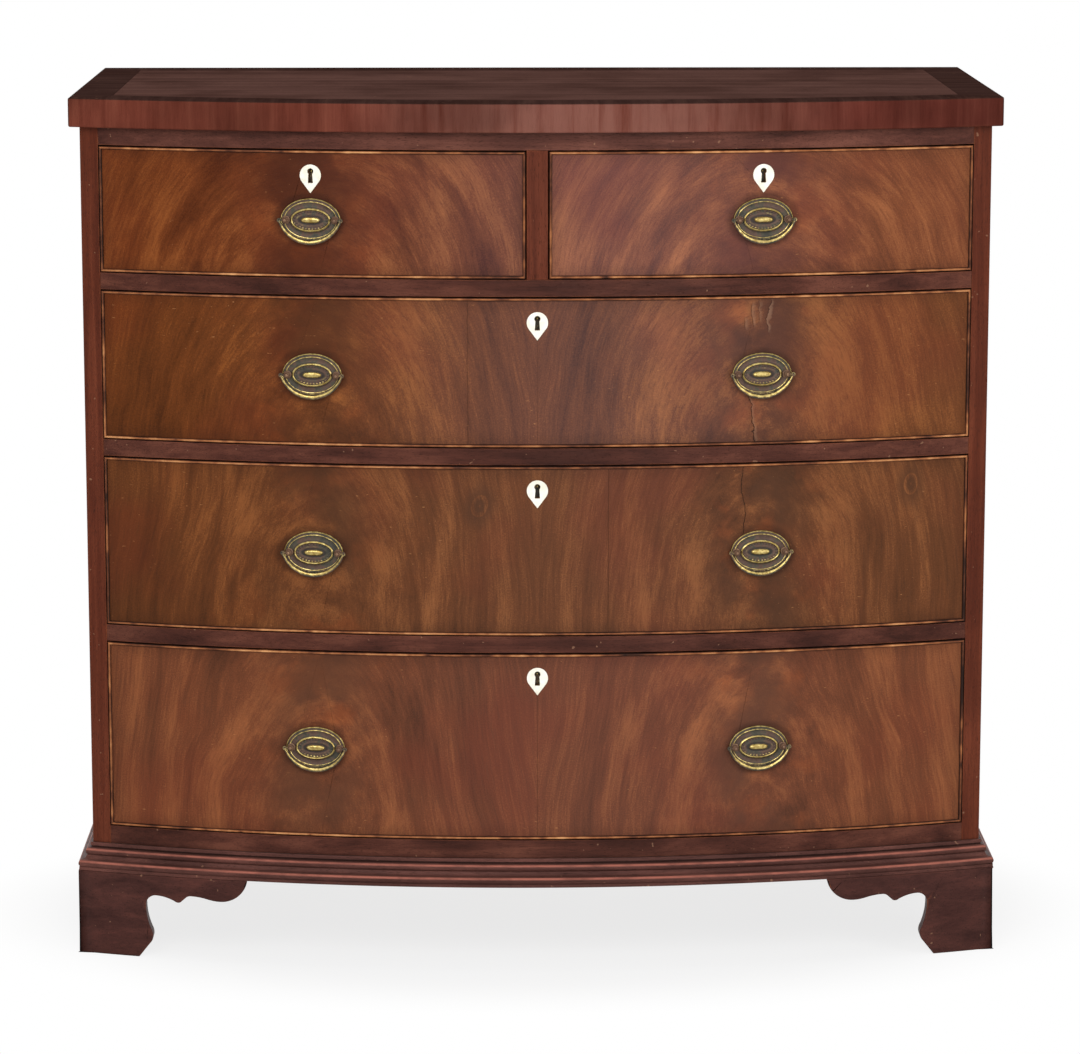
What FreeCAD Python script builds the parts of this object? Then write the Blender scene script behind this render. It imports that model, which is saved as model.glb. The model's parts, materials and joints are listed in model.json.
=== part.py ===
import FreeCAD, Part
import math
import os

import Sketcher
from FreeCAD import Vector

# A bow front chest of two short and three long drawers, in millimetres.
# Z is up, the bowed front faces -Y and +X is the viewer's right.
# The origin is on the floor, under the middle of the whole chest.

os.makedirs("parts", exist_ok=True)
doc = FreeCAD.newDocument("bow_front_chest")


# ---------------------------------------------------------------- sizes

SIZES = {
    # carcase
    "body_width": 1028,             # over the two sides
    "side_depth": 460,              # back to front corner, along a side
    "bow_radius": 1640,             # front of the carcase, in plan
    "side_thickness": 21,
    "divider_width": 24,
    "rail_depth": 110,              # front to back, in the middle of the bow
    "rail_height": 19.3,            # each rail between two drawers
    "bottom_rail_height": 21,
    "frieze_height": 20.2,
    "top_thickness": 32.8,
    "top_overhang": 12,
    "back_thickness": 10,
    "back_rebate": 9,               # how far the back boards enter each side
    "back_board_gap": 0.8,          # shrinkage gap between two back boards
    "dust_thickness": 9,
    "dust_drop": 4,                 # dust board below the top of its rail
    "dust_tongue": 7,               # dust board inside each runner
    "runner_width": 40,
    "guide_height": 34,
    "stop_height": 5,
    "stop_length": 36,
    "stop_depth": 16,
    # drawer openings
    "short_height": 144,
    "long_upper_height": 171,
    "long_middle_height": 196,
    "long_lower_height": 218,
    # drawers
    "drawer_gap": 1.2,              # round a drawer front in its opening
    "slide_clearance": 0.3,         # drawer side over its runner
    "seat_clearance": 0.4,          # a part near a curved face
    "front_thickness": 22,
    "lining_thickness": 10,         # drawer sides and back
    "lining_drop": 7,               # drawer sides below the front's top edge
    "back_drop": 5,                 # drawer back below the drawer sides
    "bottom_thickness": 6,
    "bottom_lift": 8,               # drawer bottom above the side's lower edge
    "bottom_tongue": 5,             # drawer bottom inside the sides and front
    "drawer_end_gap": 14,           # drawer back to the back boards
    "bead_width": 3.2,
    "bead_depth": 9,
    "bead_proud": 2.4,
    # feet and base moulding
    "foot_height": 98,
    "foot_pad": 70.5,               # bracket width on the floor
    "foot_ankle": 83.5,
    "foot_ankle_height": 17,
    "foot_calf": 85.5,
    "foot_calf_height": 33,
    "foot_waist": 79.4,
    "foot_waist_drop": 36,
    "foot_arch": 90.4,              # across to the top of the arch
    "foot_arch_drop": 23.6,
    "foot_slope": 113.5,            # where the arch runs into the cusp
    "foot_slope_drop": 29.4,
    "foot_cusp": 120.3,
    "foot_cusp_drop": 29.6,
    "foot_notch": 126.5,
    "foot_notch_drop": 23.9,
    "foot_shoulder": 132,
    "foot_shoulder_drop": 22,
    "foot_swell": 151.5,
    "foot_swell_drop": 24.6,
    "foot_lobe": 166.5,
    "foot_lobe_drop": 26.6,
    "foot_wing": 198,
    "foot_ankle_radius": 13,
    "foot_leg_radius": 72,
    "foot_crook_radius": 11.8,
    "foot_arch_radius": 49,
    "foot_cusp_radius": 5.8,
    "foot_notch_radius": 8.5,
    "foot_shoulder_radius": 74,
    "foot_swell_radius": 57,
    "foot_lobe_radius": 31.9,
    "bracket_thickness": 20,
    "back_brace_width": 150,
    "back_brace_rise": 62,
    "glue_block": 42,
    "glue_block_lift": 3,
    "moulding_height": 31,
    "moulding_projection": 16.5,
    "moulding_edge": 4.6,
    "torus_top": 9.4,
    "torus_step": 3.4,
    "torus_radius": 5,
    "cove_foot": 4.6,
    "cove_out": 6.4,
    "cove_top": 17.6,
    "cove_radius": 9,
    "astragal_out": 3,
    "astragal_top": 24.6,
    "astragal_radius": 4.3,
    "quirk_out": 1.8,
    "quirk_top": 26.6,
    "fillet_out": 2.8,
    # brassware
    "handle_drop_short": 7,         # plate centre below the drawer's middle
    "handle_drop_long": 4.5,
    "plate_half_width": 34,
    "plate_half_height": 24.5,
    "plate_thickness": 1.2,
    "rim_width": 2,
    "rim_proud": 1.1,
    "inner_half_width": 22,
    "inner_half_height": 12.6,
    "inner_rim_width": 1.6,
    "inner_rim_proud": 1.5,
    "boss_half_width": 10.5,
    "boss_half_height": 3,
    "boss_proud": 2.2,
    "post_pitch": 56,
    "post_shaft_radius": 2.4,
    "post_collar_radius": 3.8,
    "post_collar_proud": 1,
    "post_ball_radius": 3.85,
    "post_stand": 5.6,              # ball centre off the drawer's face
    "post_tail": 5,                 # thread past the inside of the front
    "nut_radius": 5.5,
    "nut_thickness": 3,
    "fit_clearance": 0.1,           # a post in the plate, on the radius
    "hole_clearance": 0.3,          # a post in the drawer front, on the radius
    "pin_radius": 1.2,
    "pin_clearance": 0.05,          # bail pin in its post, on the radius
    "pin_reach": 2.5,               # pin past the middle of its post
    "bail_overhang": 8.2,           # end of the bail past the middle of its post
    "bail_drop": 27.4,
    "bail_middle": 5,
    "bail_end": 2.7,
    "bail_thickness": 3.8,
    "bail_round": 1.1,
    "bail_round_share": 0.42,       # of the bail's thickness, at most
    "eye_radius": 2.7,
    "eye_thickness": 3.2,
    # keyholes and locks
    "escutcheon_drop": 33,          # its middle below the top of the opening
    "escutcheon_radius": 12,
    "escutcheon_tip": 20,           # centre of the round to the point
    "escutcheon_thickness": 2,
    "escutcheon_proud": 0.3,
    "keyhole_radius": 3.4,
    "keyhole_rise": 4.3,            # its round above the middle of the escutcheon's round
    "keyhole_neck": 4,              # slot width at its top
    "keyhole_width": 5.8,           # and at its foot
    "keyhole_length": 13,           # centre of the round to the slot's end
    "lock_width": 62,
    "lock_height": 44,
    "lock_thickness": 12,
    "bolt_width": 17,
    "bolt_thickness": 5,
    "bolt_height": 19,
    "bolt_inset": 6,                # bolt's middle to the inside of the front
    "bolt_clearance": 0.3,
    "bolt_travel": 7,
    "mortise_clearance": 1,
}

# Places worked out from the sizes.
RADIUS = "Sizes.bow_radius"
PLACES = {
    "bow_rise": f"{RADIUS} - sqrt({RADIUS} ^ 2 - (Sizes.body_width / 2) ^ 2)",
    "depth": "Sizes.side_depth + bow_rise + Sizes.moulding_projection",
    "back_y": "depth / 2",
    "front_y": "-depth / 2",
    "body_front_y": "front_y + Sizes.moulding_projection",
    "bow_y": f"body_front_y + {RADIUS}",
    "rail_back_y": "body_front_y + Sizes.rail_depth",
    "inside_back_y": "back_y - Sizes.back_thickness",
    "drawer_back_y": "inside_back_y - Sizes.drawer_end_gap",
    "inner_width": "Sizes.body_width - 2 * Sizes.side_thickness",
    "short_width": "(inner_width - Sizes.divider_width) / 2",
    "short_centre": "(Sizes.divider_width + short_width) / 2",
    "base_half_width": "Sizes.body_width / 2 + Sizes.moulding_projection",
    "body_corner_y": "body_front_y + bow_rise",
    "base_radius": f"{RADIUS} + Sizes.moulding_projection",
    "base_corner_y": "bow_y - sqrt(base_radius ^ 2 - base_half_width ^ 2)",
    "mitre_turn": "atan((base_corner_y - body_corner_y) / Sizes.moulding_projection)",
    "bail_half_width": "Sizes.post_pitch / 2 + Sizes.bail_overhang",
    "moulding_top_z": "Sizes.foot_height + Sizes.moulding_height",
    "long_lower_z": "moulding_top_z + Sizes.bottom_rail_height",
    "lower_rail_z": "long_lower_z + Sizes.long_lower_height",
    "long_middle_z": "lower_rail_z + Sizes.rail_height",
    "middle_rail_z": "long_middle_z + Sizes.long_middle_height",
    "long_upper_z": "middle_rail_z + Sizes.rail_height",
    "upper_rail_z": "long_upper_z + Sizes.long_upper_height",
    "short_z": "upper_rail_z + Sizes.rail_height",
    "frieze_z": "short_z + Sizes.short_height",
    "top_z": "frieze_z + Sizes.frieze_height",
    "carcase_height": "top_z - Sizes.foot_height",
}

# Length that only makes a cutter or a blank long enough.
SPARE = "100"
BACK_BOARD_COUNT = 5


def fill_sheet(name, cells):
    """Make a sheet with one aliased cell for each entry."""
    sheet = doc.addObject("Spreadsheet::Sheet", name)
    for row, (word, content) in enumerate(cells.items(), start=1):
        sheet.set(f"A{row}", word)
        sheet.set(f"B{row}", content if isinstance(content, str) else str(content))
        sheet.setAlias(f"B{row}", word)
    return sheet


fill_sheet("Sizes", SIZES)
places = fill_sheet("Places", {word: f"={text}" for word, text in PLACES.items()})
doc.recompute()


# ---------------------------------------------------------------- building helpers

def value_of(text):
    """Number that an expression has now."""
    number = places.evalExpression(text)
    return float(getattr(number, "Value", number))


def bind(item, **texts):
    """Bind properties of an object to expressions."""
    for key, text in texts.items():
        item.setExpression(key, text)
    return item


def put(item, x="0", y="0", z="0"):
    """Bind the corner or centre of an object to a place."""
    for axis, text in zip("xyz", (x, y, z)):
        item.setExpression(f"Placement.Base.{axis}", text)
    return item


def turned(item, x, y, z, axis, angle):
    """Bind an object to a place and a turn about an axis."""
    where = f"create(<<vector>>; {x}; {y}; {z})"
    line = f"create(<<vector>>; {axis})"
    turn = f"create(<<rotation>>; {line}; {angle})"
    item.setExpression("Placement", f"create(<<placement>>; {where}; {turn})")
    return item


def on_front(item, x, z):
    """Set an object on the bow at x and z. It is drawn with the drawer face as its XZ plane."""
    y = f"Places.bow_y - sqrt({RADIUS} ^ 2 - ({x}) ^ 2)"
    seat = group(f"{item.Name}_on_front", item)
    return turned(seat, x, y, z, "0; 0; 1", f"asin(({x}) / {RADIUS})")


def block(name, x, y, z, length, width, height):
    """Box from its low corner and its three sizes."""
    item = doc.addObject("Part::Box", name)
    bind(item, Length=length, Width=width, Height=height)
    return put(item, x, y, z)


def drum(name, radius, z, height):
    """Upright cylinder on the axis of the bow."""
    item = doc.addObject("Part::Cylinder", name)
    bind(item, Radius=radius, Height=height)
    return put(item, "0", "Places.bow_y", z)


def peg(name, radius, length, x, y, z):
    """Cylinder that runs along +Y from a place."""
    item = doc.addObject("Part::Cylinder", name)
    bind(item, Radius=radius, Height=length)
    return turned(item, x, y, z, "1; 0; 0", "-90")


def cross_peg(name, radius, length, x, y, z):
    """Cylinder that runs along +X from a place."""
    item = doc.addObject("Part::Cylinder", name)
    bind(item, Radius=radius, Height=length)
    return turned(item, x, y, z, "0; 1; 0", "90")


def common(name, first, second):
    """What two objects share."""
    item = doc.addObject("Part::Common", name)
    item.Base = first
    item.Tool = second
    return item


def cut(name, first, *tools):
    """An object without its tools."""
    for tool in tools:
        item = doc.addObject("Part::Cut", name)
        item.Base = first
        item.Tool = tool
        first = item
    return first


def fuse(name, *shapes):
    """Several objects as one."""
    item = doc.addObject("Part::MultiFuse", name)
    item.Shapes = list(shapes)
    return item


def group(name, *shapes):
    """Separate solids of one sub-part."""
    item = doc.addObject("Part::Compound", name)
    item.Links = list(shapes)
    return item


def mirrored(name, source):
    """The same piece for the other side of the chest."""
    item = doc.addObject("Part::Mirroring", name)
    item.Source = source
    item.Normal = Vector(1, 0, 0)
    return item


def oval(name, half_width, half_height, depth, y):
    """Upright elliptical disc that runs from y towards the viewer."""
    edge = doc.addObject("Part::Ellipse", name + "_edge")
    bind(edge, MajorRadius=half_width, MinorRadius=half_height)
    disc = doc.addObject("Part::Extrusion", name)
    disc.Base = edge
    disc.DirMode = "Custom"
    disc.Dir = Vector(0, 0, 1)
    disc.Solid = True
    bind(disc, LengthFwd=depth)
    return turned(disc, "0", y, "0", "1; 0; 0", "90")


def plane_of(body, role):
    """Origin plane of a body."""
    return next(item for item in body.Origin.OriginFeatures if item.Role == role)


def arc_between(start, end, radius, side):
    """Minor arc; side is 1 where its centre lies left of the way from start to end."""
    chord = end.sub(start)
    half = chord.Length / 2
    left = Vector(-chord.y, chord.x, 0).normalize()
    centre = start.add(end).multiply(0.5)
    centre = centre.add(left.multiply(side * math.sqrt(radius ** 2 - half ** 2)))
    first, last = (start, end) if side > 0 else (end, start)
    turn = [math.atan2(p.y - centre.y, p.x - centre.x) for p in (first, last)]
    return Part.ArcOfCircle(Part.Circle(centre, Vector(0, 0, 1), radius), *turn)


def outline(body, role, corners):
    """Closed sketch. A corner is (across, up), or (across, up, radius, side) where an arc
    leads to the next corner."""
    sketch = body.newObject("Sketcher::SketchObject", body.Name + "_outline")
    sketch.AttachmentSupport = [(plane_of(body, role), "")]
    sketch.MapMode = "FlatFace"
    spots = [Vector(value_of(c[0]), value_of(c[1]), 0) for c in corners]
    bonds = []
    for number, corner in enumerate(corners):
        start, end = spots[number], spots[(number + 1) % len(spots)]
        if len(corner) == 2:
            sketch.addGeometry(Part.LineSegment(start, end), False)
        else:
            sketch.addGeometry(arc_between(start, end, value_of(corner[2]), corner[3]), False)
        flipped = len(corner) == 4 and corner[3] < 0
        bonds.append((2, 1) if flipped else (1, 2))
    for number, corner in enumerate(corners):
        after = (number + 1) % len(corners)
        ends = (number, bonds[number][1], after, bonds[after][0])
        sketch.addConstraint(Sketcher.Constraint("Coincident", *ends))
        for kind, text, axis in (("DistanceX", corner[0], -2), ("DistanceY", corner[1], -1)):
            point = (number, bonds[number][0])
            if text == "0":
                sketch.addConstraint(Sketcher.Constraint("PointOnObject", *point, axis))
                continue
            rule = Sketcher.Constraint(kind, -1, 1, *point, value_of(text))
            sketch.setExpression(f"Constraints[{sketch.addConstraint(rule)}]", text)
        if len(corner) == 4:
            rule = Sketcher.Constraint("Radius", number, value_of(corner[2]))
            sketch.setExpression(f"Constraints[{sketch.addConstraint(rule)}]", corner[2])
    return sketch


def padded(name, role, corners, length):
    """Body padded both ways from one of its origin planes."""
    body = doc.addObject("PartDesign::Body", name)
    sketch = outline(body, role, corners)
    pad = body.newObject("PartDesign::Pad", name + "_pad")
    pad.Profile = sketch
    pad.SideType = "Symmetric"
    bind(pad, Length=length)
    return body


nodes = {}


def keep(label, item):
    """Name a finished sub-part."""
    item.Label = label
    nodes[label] = item
    return item


# ---------------------------------------------------------------- carcase

def bowed(name, x, z, length, height, back_y, radius=RADIUS):
    """Board whose front follows the bow and whose back is straight."""
    start = "Places.front_y"
    blank = block(name + "_blank", x, start, z, length, f"{back_y} - {start}", height)
    return common(name, blank, drum(name + "_bow", radius, z, height))


def make_sides():
    """Two sides, rebated for the back boards."""
    low_x = "-Sizes.body_width / 2"
    board = bowed("side_board", low_x, "Sizes.foot_height", "Sizes.side_thickness",
                  "Places.carcase_height", "Places.back_y")
    rebate = block("side_rebate", "-Places.inner_width / 2 - Sizes.back_rebate",
                   "Places.inside_back_y", "Sizes.foot_height", SPARE, SPARE,
                   "Places.carcase_height")
    keep("side_left", cut("side_left", board, rebate))
    keep("side_right", mirrored("side_right", nodes["side_left"]))


def make_top():
    """Top board, which overhangs the front and the sides."""
    reach = "(Sizes.body_width / 2 + Sizes.top_overhang)"
    keep("top_board", bowed("top_board", f"-{reach}", "Places.top_z", f"2 * {reach}",
                            "Sizes.top_thickness", "Places.back_y",
                            f"{RADIUS} + Sizes.top_overhang"))


def bolt_mortise(x, z):
    """Cutter for the hole that a lock's bolt rises into, from the rail's underside."""
    room = "Sizes.mortise_clearance"
    tool = block("mortise", f"-Sizes.bolt_width / 2 - {room}",
                 f"Sizes.front_thickness - Sizes.bolt_inset - Sizes.bolt_thickness / 2 - {room}",
                 "-Sizes.drawer_gap", f"Sizes.bolt_width + 2 * {room}",
                 f"Sizes.bolt_thickness + 2 * {room}",
                 f"Sizes.drawer_gap + Sizes.bolt_travel + {room}")
    return on_front(tool, x, z)


def make_rails():
    """Rails across the front, with a mortise over each lock."""
    rails = {
        "bottom_rail": ("Places.moulding_top_z - Sizes.moulding_height",
                        "Sizes.moulding_height + Sizes.bottom_rail_height", ()),
        "lower_rail": ("Places.lower_rail_z", "Sizes.rail_height", ("0",)),
        "middle_rail": ("Places.middle_rail_z", "Sizes.rail_height", ("0",)),
        "upper_rail": ("Places.upper_rail_z", "Sizes.rail_height", ("0",)),
        "frieze_rail": ("Places.frieze_z", "Sizes.frieze_height",
                        ("-Places.short_centre", "Places.short_centre")),
    }
    for name, (z, height, locks) in rails.items():
        rail = bowed(name, "-Places.inner_width / 2", z, "Places.inner_width", height,
                     "Places.rail_back_y")
        keep(name, cut(name, rail, *[bolt_mortise(x, z) for x in locks]))
    keep("drawer_divider", bowed("drawer_divider", "-Sizes.divider_width / 2", "Places.short_z",
                                 "Sizes.divider_width", "Sizes.short_height",
                                 "Places.rail_back_y"))


def make_back():
    """Upright back boards, in the rebates of the sides."""
    width = "(Places.inner_width + 2 * Sizes.back_rebate)"
    gap = "Sizes.back_board_gap"
    board = f"({width} - {BACK_BOARD_COUNT - 1} * {gap}) / {BACK_BOARD_COUNT}"
    boards = [block("back_board", f"-{width} / 2 + {number} * ({board} + {gap})",
                    "Places.inside_back_y", "Sizes.foot_height", board,
                    "Sizes.back_thickness", "Places.carcase_height")
              for number in range(BACK_BOARD_COUNT)]
    keep("back_boards", group("back_boards", *boards))


def make_dust_boards_and_runners():
    """Dust boards behind the rails, the runners that hold them, the guide between the short
    drawers, the kickers over them and the stops that meet the drawer fronts."""
    length = "Places.inside_back_y - Places.rail_back_y"
    half = "Places.inner_width / 2"
    runner = "Sizes.runner_width"
    tongue = "Sizes.dust_tongue"
    long_board = (f"-{half} + {runner} - {tongue}",
                  f"Places.inner_width - 2 * {runner} + 2 * {tongue}")
    short_board = (f"{runner} / 2 - {tongue}", f"{half} - {runner} * 3 / 2 + 2 * {tongue}")
    short_mirror = (f"-({short_board[0]}) - ({short_board[1]})", short_board[1])
    levels = {
        "bottom": ("Places.long_lower_z", [long_board]),
        "lower": ("Places.long_middle_z", [long_board]),
        "middle": ("Places.long_upper_z", [long_board]),
        "upper": ("Places.short_z", [short_mirror, short_board]),
    }
    boards = []
    strips = []
    for level, (top, panels) in levels.items():
        low = f"{top} - Sizes.dust_drop - Sizes.dust_thickness"
        here = [block(f"dust_{level}", x, "Places.rail_back_y", low, width, length,
                      "Sizes.dust_thickness") for x, width in panels]
        boards += here
        spots = [f"-{half}", f"{half} - {runner}"]
        if level == "upper":
            spots.append(f"-{runner} / 2")
        for x in spots:
            strip = block(f"runner_{level}", x, "Places.rail_back_y",
                          f"{top} - Sizes.rail_height", runner, length, "Sizes.rail_height")
            strips.append(cut(f"runner_{level}", strip, *here))
    strips.append(block("short_guide", "-Sizes.divider_width / 2", "Places.rail_back_y",
                        "Places.short_z", "Sizes.divider_width", length, "Sizes.guide_height"))
    for x in (f"-{half}", f"-{runner} / 2", f"{half} - {runner}"):
        strips.append(block("kicker", x, "Places.rail_back_y", "Places.frieze_z", runner, length,
                            "Sizes.frieze_height"))
    strips += make_stops()
    keep("dust_boards", group("dust_boards", *boards))
    keep("drawer_runners", group("drawer_runners", *strips))


def make_stops():
    """Blocks on the rails, just behind the closed drawer fronts."""
    behind = f"{RADIUS} - Sizes.front_thickness - Sizes.seat_clearance"
    quarter = "Places.inner_width / 4"
    stops = []
    for z in ("Places.long_lower_z", "Places.long_middle_z", "Places.long_upper_z",
              "Places.short_z"):
        for sign in ("-", ""):
            middle = f"{sign}{quarter}"
            back = (f"Places.bow_y - sqrt(({behind}) ^ 2 - ({quarter}) ^ 2)"
                    " + Sizes.stop_depth")
            stops.append(bowed("stop", f"{middle} - Sizes.stop_length / 2", z,
                               "Sizes.stop_length", "Sizes.stop_height", back, behind))
    return stops


# ---------------------------------------------------------------- base moulding and feet

def mitre_block(name, face_side):
    """Cutter at the left front corner of the base: the side's half of the corner, or the
    front's half. Its long face is the mitre."""
    reach = "6 * Sizes.bracket_thickness"
    y = f"-({reach})" if face_side == "side" else "0"
    tool = block(name, f"-({reach})", y, "0", f"2 * {reach}", reach, "Places.moulding_top_z")
    return turned(group(name + "_turned", tool), "-Sizes.body_width / 2",
                  "Places.body_corner_y", "0", "0; 0; 1", "180 deg - Places.mitre_turn")


def moulding_corners(face):
    """Section of the base moulding, out from a carcase face."""
    projection = f"{face} + Sizes.moulding_projection"
    return [
        (face, "0"),
        (projection, "0"),
        (projection, "Sizes.moulding_edge", "Sizes.torus_radius", 1),
        (f"{projection} - Sizes.torus_step", "Sizes.torus_top"),
        (f"{projection} - Sizes.cove_foot", "Sizes.torus_top", "Sizes.cove_radius", -1),
        (f"{face} + Sizes.cove_out", "Sizes.cove_top", "Sizes.astragal_radius", 1),
        (f"{face} + Sizes.astragal_out", "Sizes.astragal_top"),
        (f"{face} + Sizes.quirk_out", "Sizes.astragal_top"),
        (f"{face} + Sizes.quirk_out", "Sizes.quirk_top"),
        (f"{face} + Sizes.fillet_out", "Sizes.quirk_top"),
        (f"{face} + Sizes.fillet_out", "Sizes.moulding_height"),
        (face, "Sizes.moulding_height"),
    ]


def make_moulding():
    """Base moulding: one bowed front length and two straight returns, mitred."""
    front = doc.addObject("PartDesign::Body", "moulding_front")
    sketch = outline(front, "XZ_Plane", moulding_corners(RADIUS))
    turn = front.newObject("PartDesign::Revolution", "moulding_sweep")
    turn.Profile = sketch
    turn.ReferenceAxis = (sketch, ["V_Axis"])
    turn.Midplane = True
    bind(turn, Angle=f"2 * asin((Places.base_half_width + Sizes.moulding_projection) / {RADIUS})")
    turned(front, "0", "Places.bow_y", "Sizes.foot_height", "0; 0; 1", "-90")
    side = padded("moulding_return", "XZ_Plane", moulding_corners("0"),
                  "2 * (Places.back_y - Places.front_y)")
    put(side, "Sizes.body_width / 2", "Places.front_y", "Sizes.foot_height")
    behind = block("behind_back", "0", "Places.back_y", "0", "Sizes.body_width",
                   "2 * Places.depth", "Places.moulding_top_z")
    ahead = block("ahead_of_corner", "0", "-2 * Places.depth", "0", "Sizes.body_width",
                  "2 * Places.depth + Places.front_y", "Places.moulding_top_z")
    side_half = mitre_block("mitre_side", "side")
    front_half = mitre_block("mitre_front", "front")
    right = cut("moulding_right", side, behind, ahead, mirrored("mitre_front_right", front_half))
    left = mirrored("moulding_left", right)
    # The mitred ends are made apart and fused on, because one very long rounded face that ends
    # on a slant makes a poor mesh.
    inner = "Places.base_half_width - 2 * Sizes.bracket_thickness"
    middle = common("moulding_middle", front,
                    block("middle_span", f"-({inner})", "2 * Places.front_y", "0",
                          f"2 * ({inner})", "2 * Places.depth", "Places.moulding_top_z"))
    end = common("moulding_end", front,
                 block("end_span", "-Sizes.body_width", "2 * Places.front_y", "0",
                       f"Sizes.body_width - ({inner})", "2 * Places.depth",
                       "Places.moulding_top_z"))
    left_end = cut("moulding_left_end", end, side_half)
    right_end = mirrored("moulding_right_end", left_end)
    bowed_length = fuse("moulding_bowed", middle, left_end, right_end)
    keep("base_moulding", group("base_moulding", bowed_length, left, right))


def bracket_corners(sign):
    """Outline of a bracket foot, from its outer corner; sign is the way that it runs. Hollow
    arcs bend into the bracket and full ones swell out of it."""
    def across(word):
        return f"{sign}Sizes.{word}"

    def below(word):
        return f"Sizes.foot_height - Sizes.{word}"

    hollow = 1 if sign == "-" else -1
    full = -hollow
    return [
        ("0", "0"),
        (across("foot_pad"), "0"),
        (across("foot_ankle"), "Sizes.foot_ankle_height", "Sizes.foot_ankle_radius", full),
        (across("foot_calf"), "Sizes.foot_calf_height", "Sizes.foot_leg_radius", hollow),
        (across("foot_waist"), below("foot_waist_drop"), "Sizes.foot_crook_radius", hollow),
        (across("foot_arch"), below("foot_arch_drop"), "Sizes.foot_arch_radius", hollow),
        (across("foot_slope"), below("foot_slope_drop"), "Sizes.foot_cusp_radius", full),
        (across("foot_cusp"), below("foot_cusp_drop")),
        (across("foot_notch"), below("foot_notch_drop"), "Sizes.foot_notch_radius", hollow),
        (across("foot_shoulder"), below("foot_shoulder_drop"), "Sizes.foot_shoulder_radius",
         hollow),
        (across("foot_swell"), below("foot_swell_drop"), "Sizes.foot_swell_radius", full),
        (across("foot_lobe"), below("foot_lobe_drop"), "Sizes.foot_lobe_radius", full),
        (across("foot_wing"), "Sizes.foot_height"),
        ("0", "Sizes.foot_height"),
    ]


def make_feet():
    """Four bracket feet: two mitred brackets in front, a bracket and a brace behind."""
    wide = "4 * Places.base_half_width"
    inner_radius = "Places.base_radius - Sizes.bracket_thickness"
    outer_x = "-Places.base_half_width"
    thickness = "Sizes.bracket_thickness"
    height = "Sizes.foot_height"

    face = put(padded("foot_front_outline", "XZ_Plane", bracket_corners(""), wide), outer_x)
    shell = cut("foot_shell", drum("foot_bow", "Places.base_radius", "0", height),
                drum("foot_hollow", inner_radius, "0", height))
    near = block("near_half", outer_x, "2 * Places.front_y", "0", wide,
                 "2 * Places.depth", height)
    front = cut("foot_front_bracket", common("foot_face", common("foot_near", face, near), shell),
                mitre_block("foot_mitre_side", "side"))

    slab = block("foot_slab", outer_x, "Places.front_y", "0", thickness, "Places.depth", height)
    flank = put(padded("foot_side_outline", "YZ_Plane", bracket_corners(""), wide), "0",
                "Places.base_corner_y")
    side = cut("foot_side_bracket", common("foot_flank", flank, slab),
               mitre_block("foot_mitre_front", "front"))

    size = "Sizes.glue_block"
    lift = "Sizes.glue_block_lift"
    inside_x = f"{outer_x} + {thickness}"
    corner_y = "Places.base_corner_y"
    corner_block = common("foot_glue_block",
                          block("foot_glue_blank", inside_x, corner_y, lift, size,
                                f"{thickness} + {size}", f"{height} - {lift}"),
                          drum("foot_glue_bow", inner_radius, "0", height))
    keep("foot_front_left", group("foot_front_left", front, side, corner_block))
    keep("foot_front_right", mirrored("foot_front_right", nodes["foot_front_left"]))

    flank = put(padded("foot_back_outline", "YZ_Plane", bracket_corners("-"), wide), "0",
                "Places.back_y")
    side = common("foot_back_bracket", flank,
                  block("foot_back_slab", outer_x, "Places.front_y", "0", thickness,
                        "Places.depth", height))
    brace = padded("foot_brace_outline", "XZ_Plane", [
        ("0", "0"),
        ("Sizes.foot_pad", "0"),
        ("Sizes.back_brace_width", "Sizes.back_brace_rise"),
        ("Sizes.back_brace_width", height),
        ("0", height),
    ], thickness)
    put(brace, inside_x, f"Places.back_y - {thickness} / 2")
    corner_block = block("foot_back_glue_block", inside_x,
                         f"Places.back_y - {thickness} - {size}", lift, size, size,
                         f"{height} - {lift}")
    keep("foot_back_left", group("foot_back_left", side, brace, corner_block))
    keep("foot_back_right", mirrored("foot_back_right", nodes["foot_back_left"]))


# ---------------------------------------------------------------- brassware

def make_plate():
    """Oval back plate with a raised rim, an inner rim and a boss."""
    base = "-Sizes.plate_thickness"
    spare = "Sizes.rim_proud + Sizes.inner_rim_proud"
    back = oval("plate_back", "Sizes.plate_half_width", "Sizes.plate_half_height",
                "Sizes.plate_thickness", "0")
    rim = cut("plate_rim",
              oval("rim_disc", "Sizes.plate_half_width", "Sizes.plate_half_height",
                   "Sizes.rim_proud", base),
              oval("rim_hollow", "Sizes.plate_half_width - Sizes.rim_width",
                   "Sizes.plate_half_height - Sizes.rim_width", spare, base))
    inner = cut("plate_inner_rim",
                oval("inner_disc", "Sizes.inner_half_width", "Sizes.inner_half_height",
                     "Sizes.inner_rim_proud", base),
                oval("inner_hollow", "Sizes.inner_half_width - Sizes.inner_rim_width",
                     "Sizes.inner_half_height - Sizes.inner_rim_width", spare, base))
    boss = oval("plate_boss", "Sizes.boss_half_width", "Sizes.boss_half_height",
                "Sizes.boss_proud", base)
    radius = "Sizes.post_shaft_radius + Sizes.fit_clearance"
    holes = [peg("plate_hole", radius, "3 * Sizes.plate_thickness",
                 f"{sign}Sizes.post_pitch / 2", "-2 * Sizes.plate_thickness", "0")
             for sign in ("-", "")]
    return cut("plate", fuse("plate_whole", back, rim, inner, boss), *holes)


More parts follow.
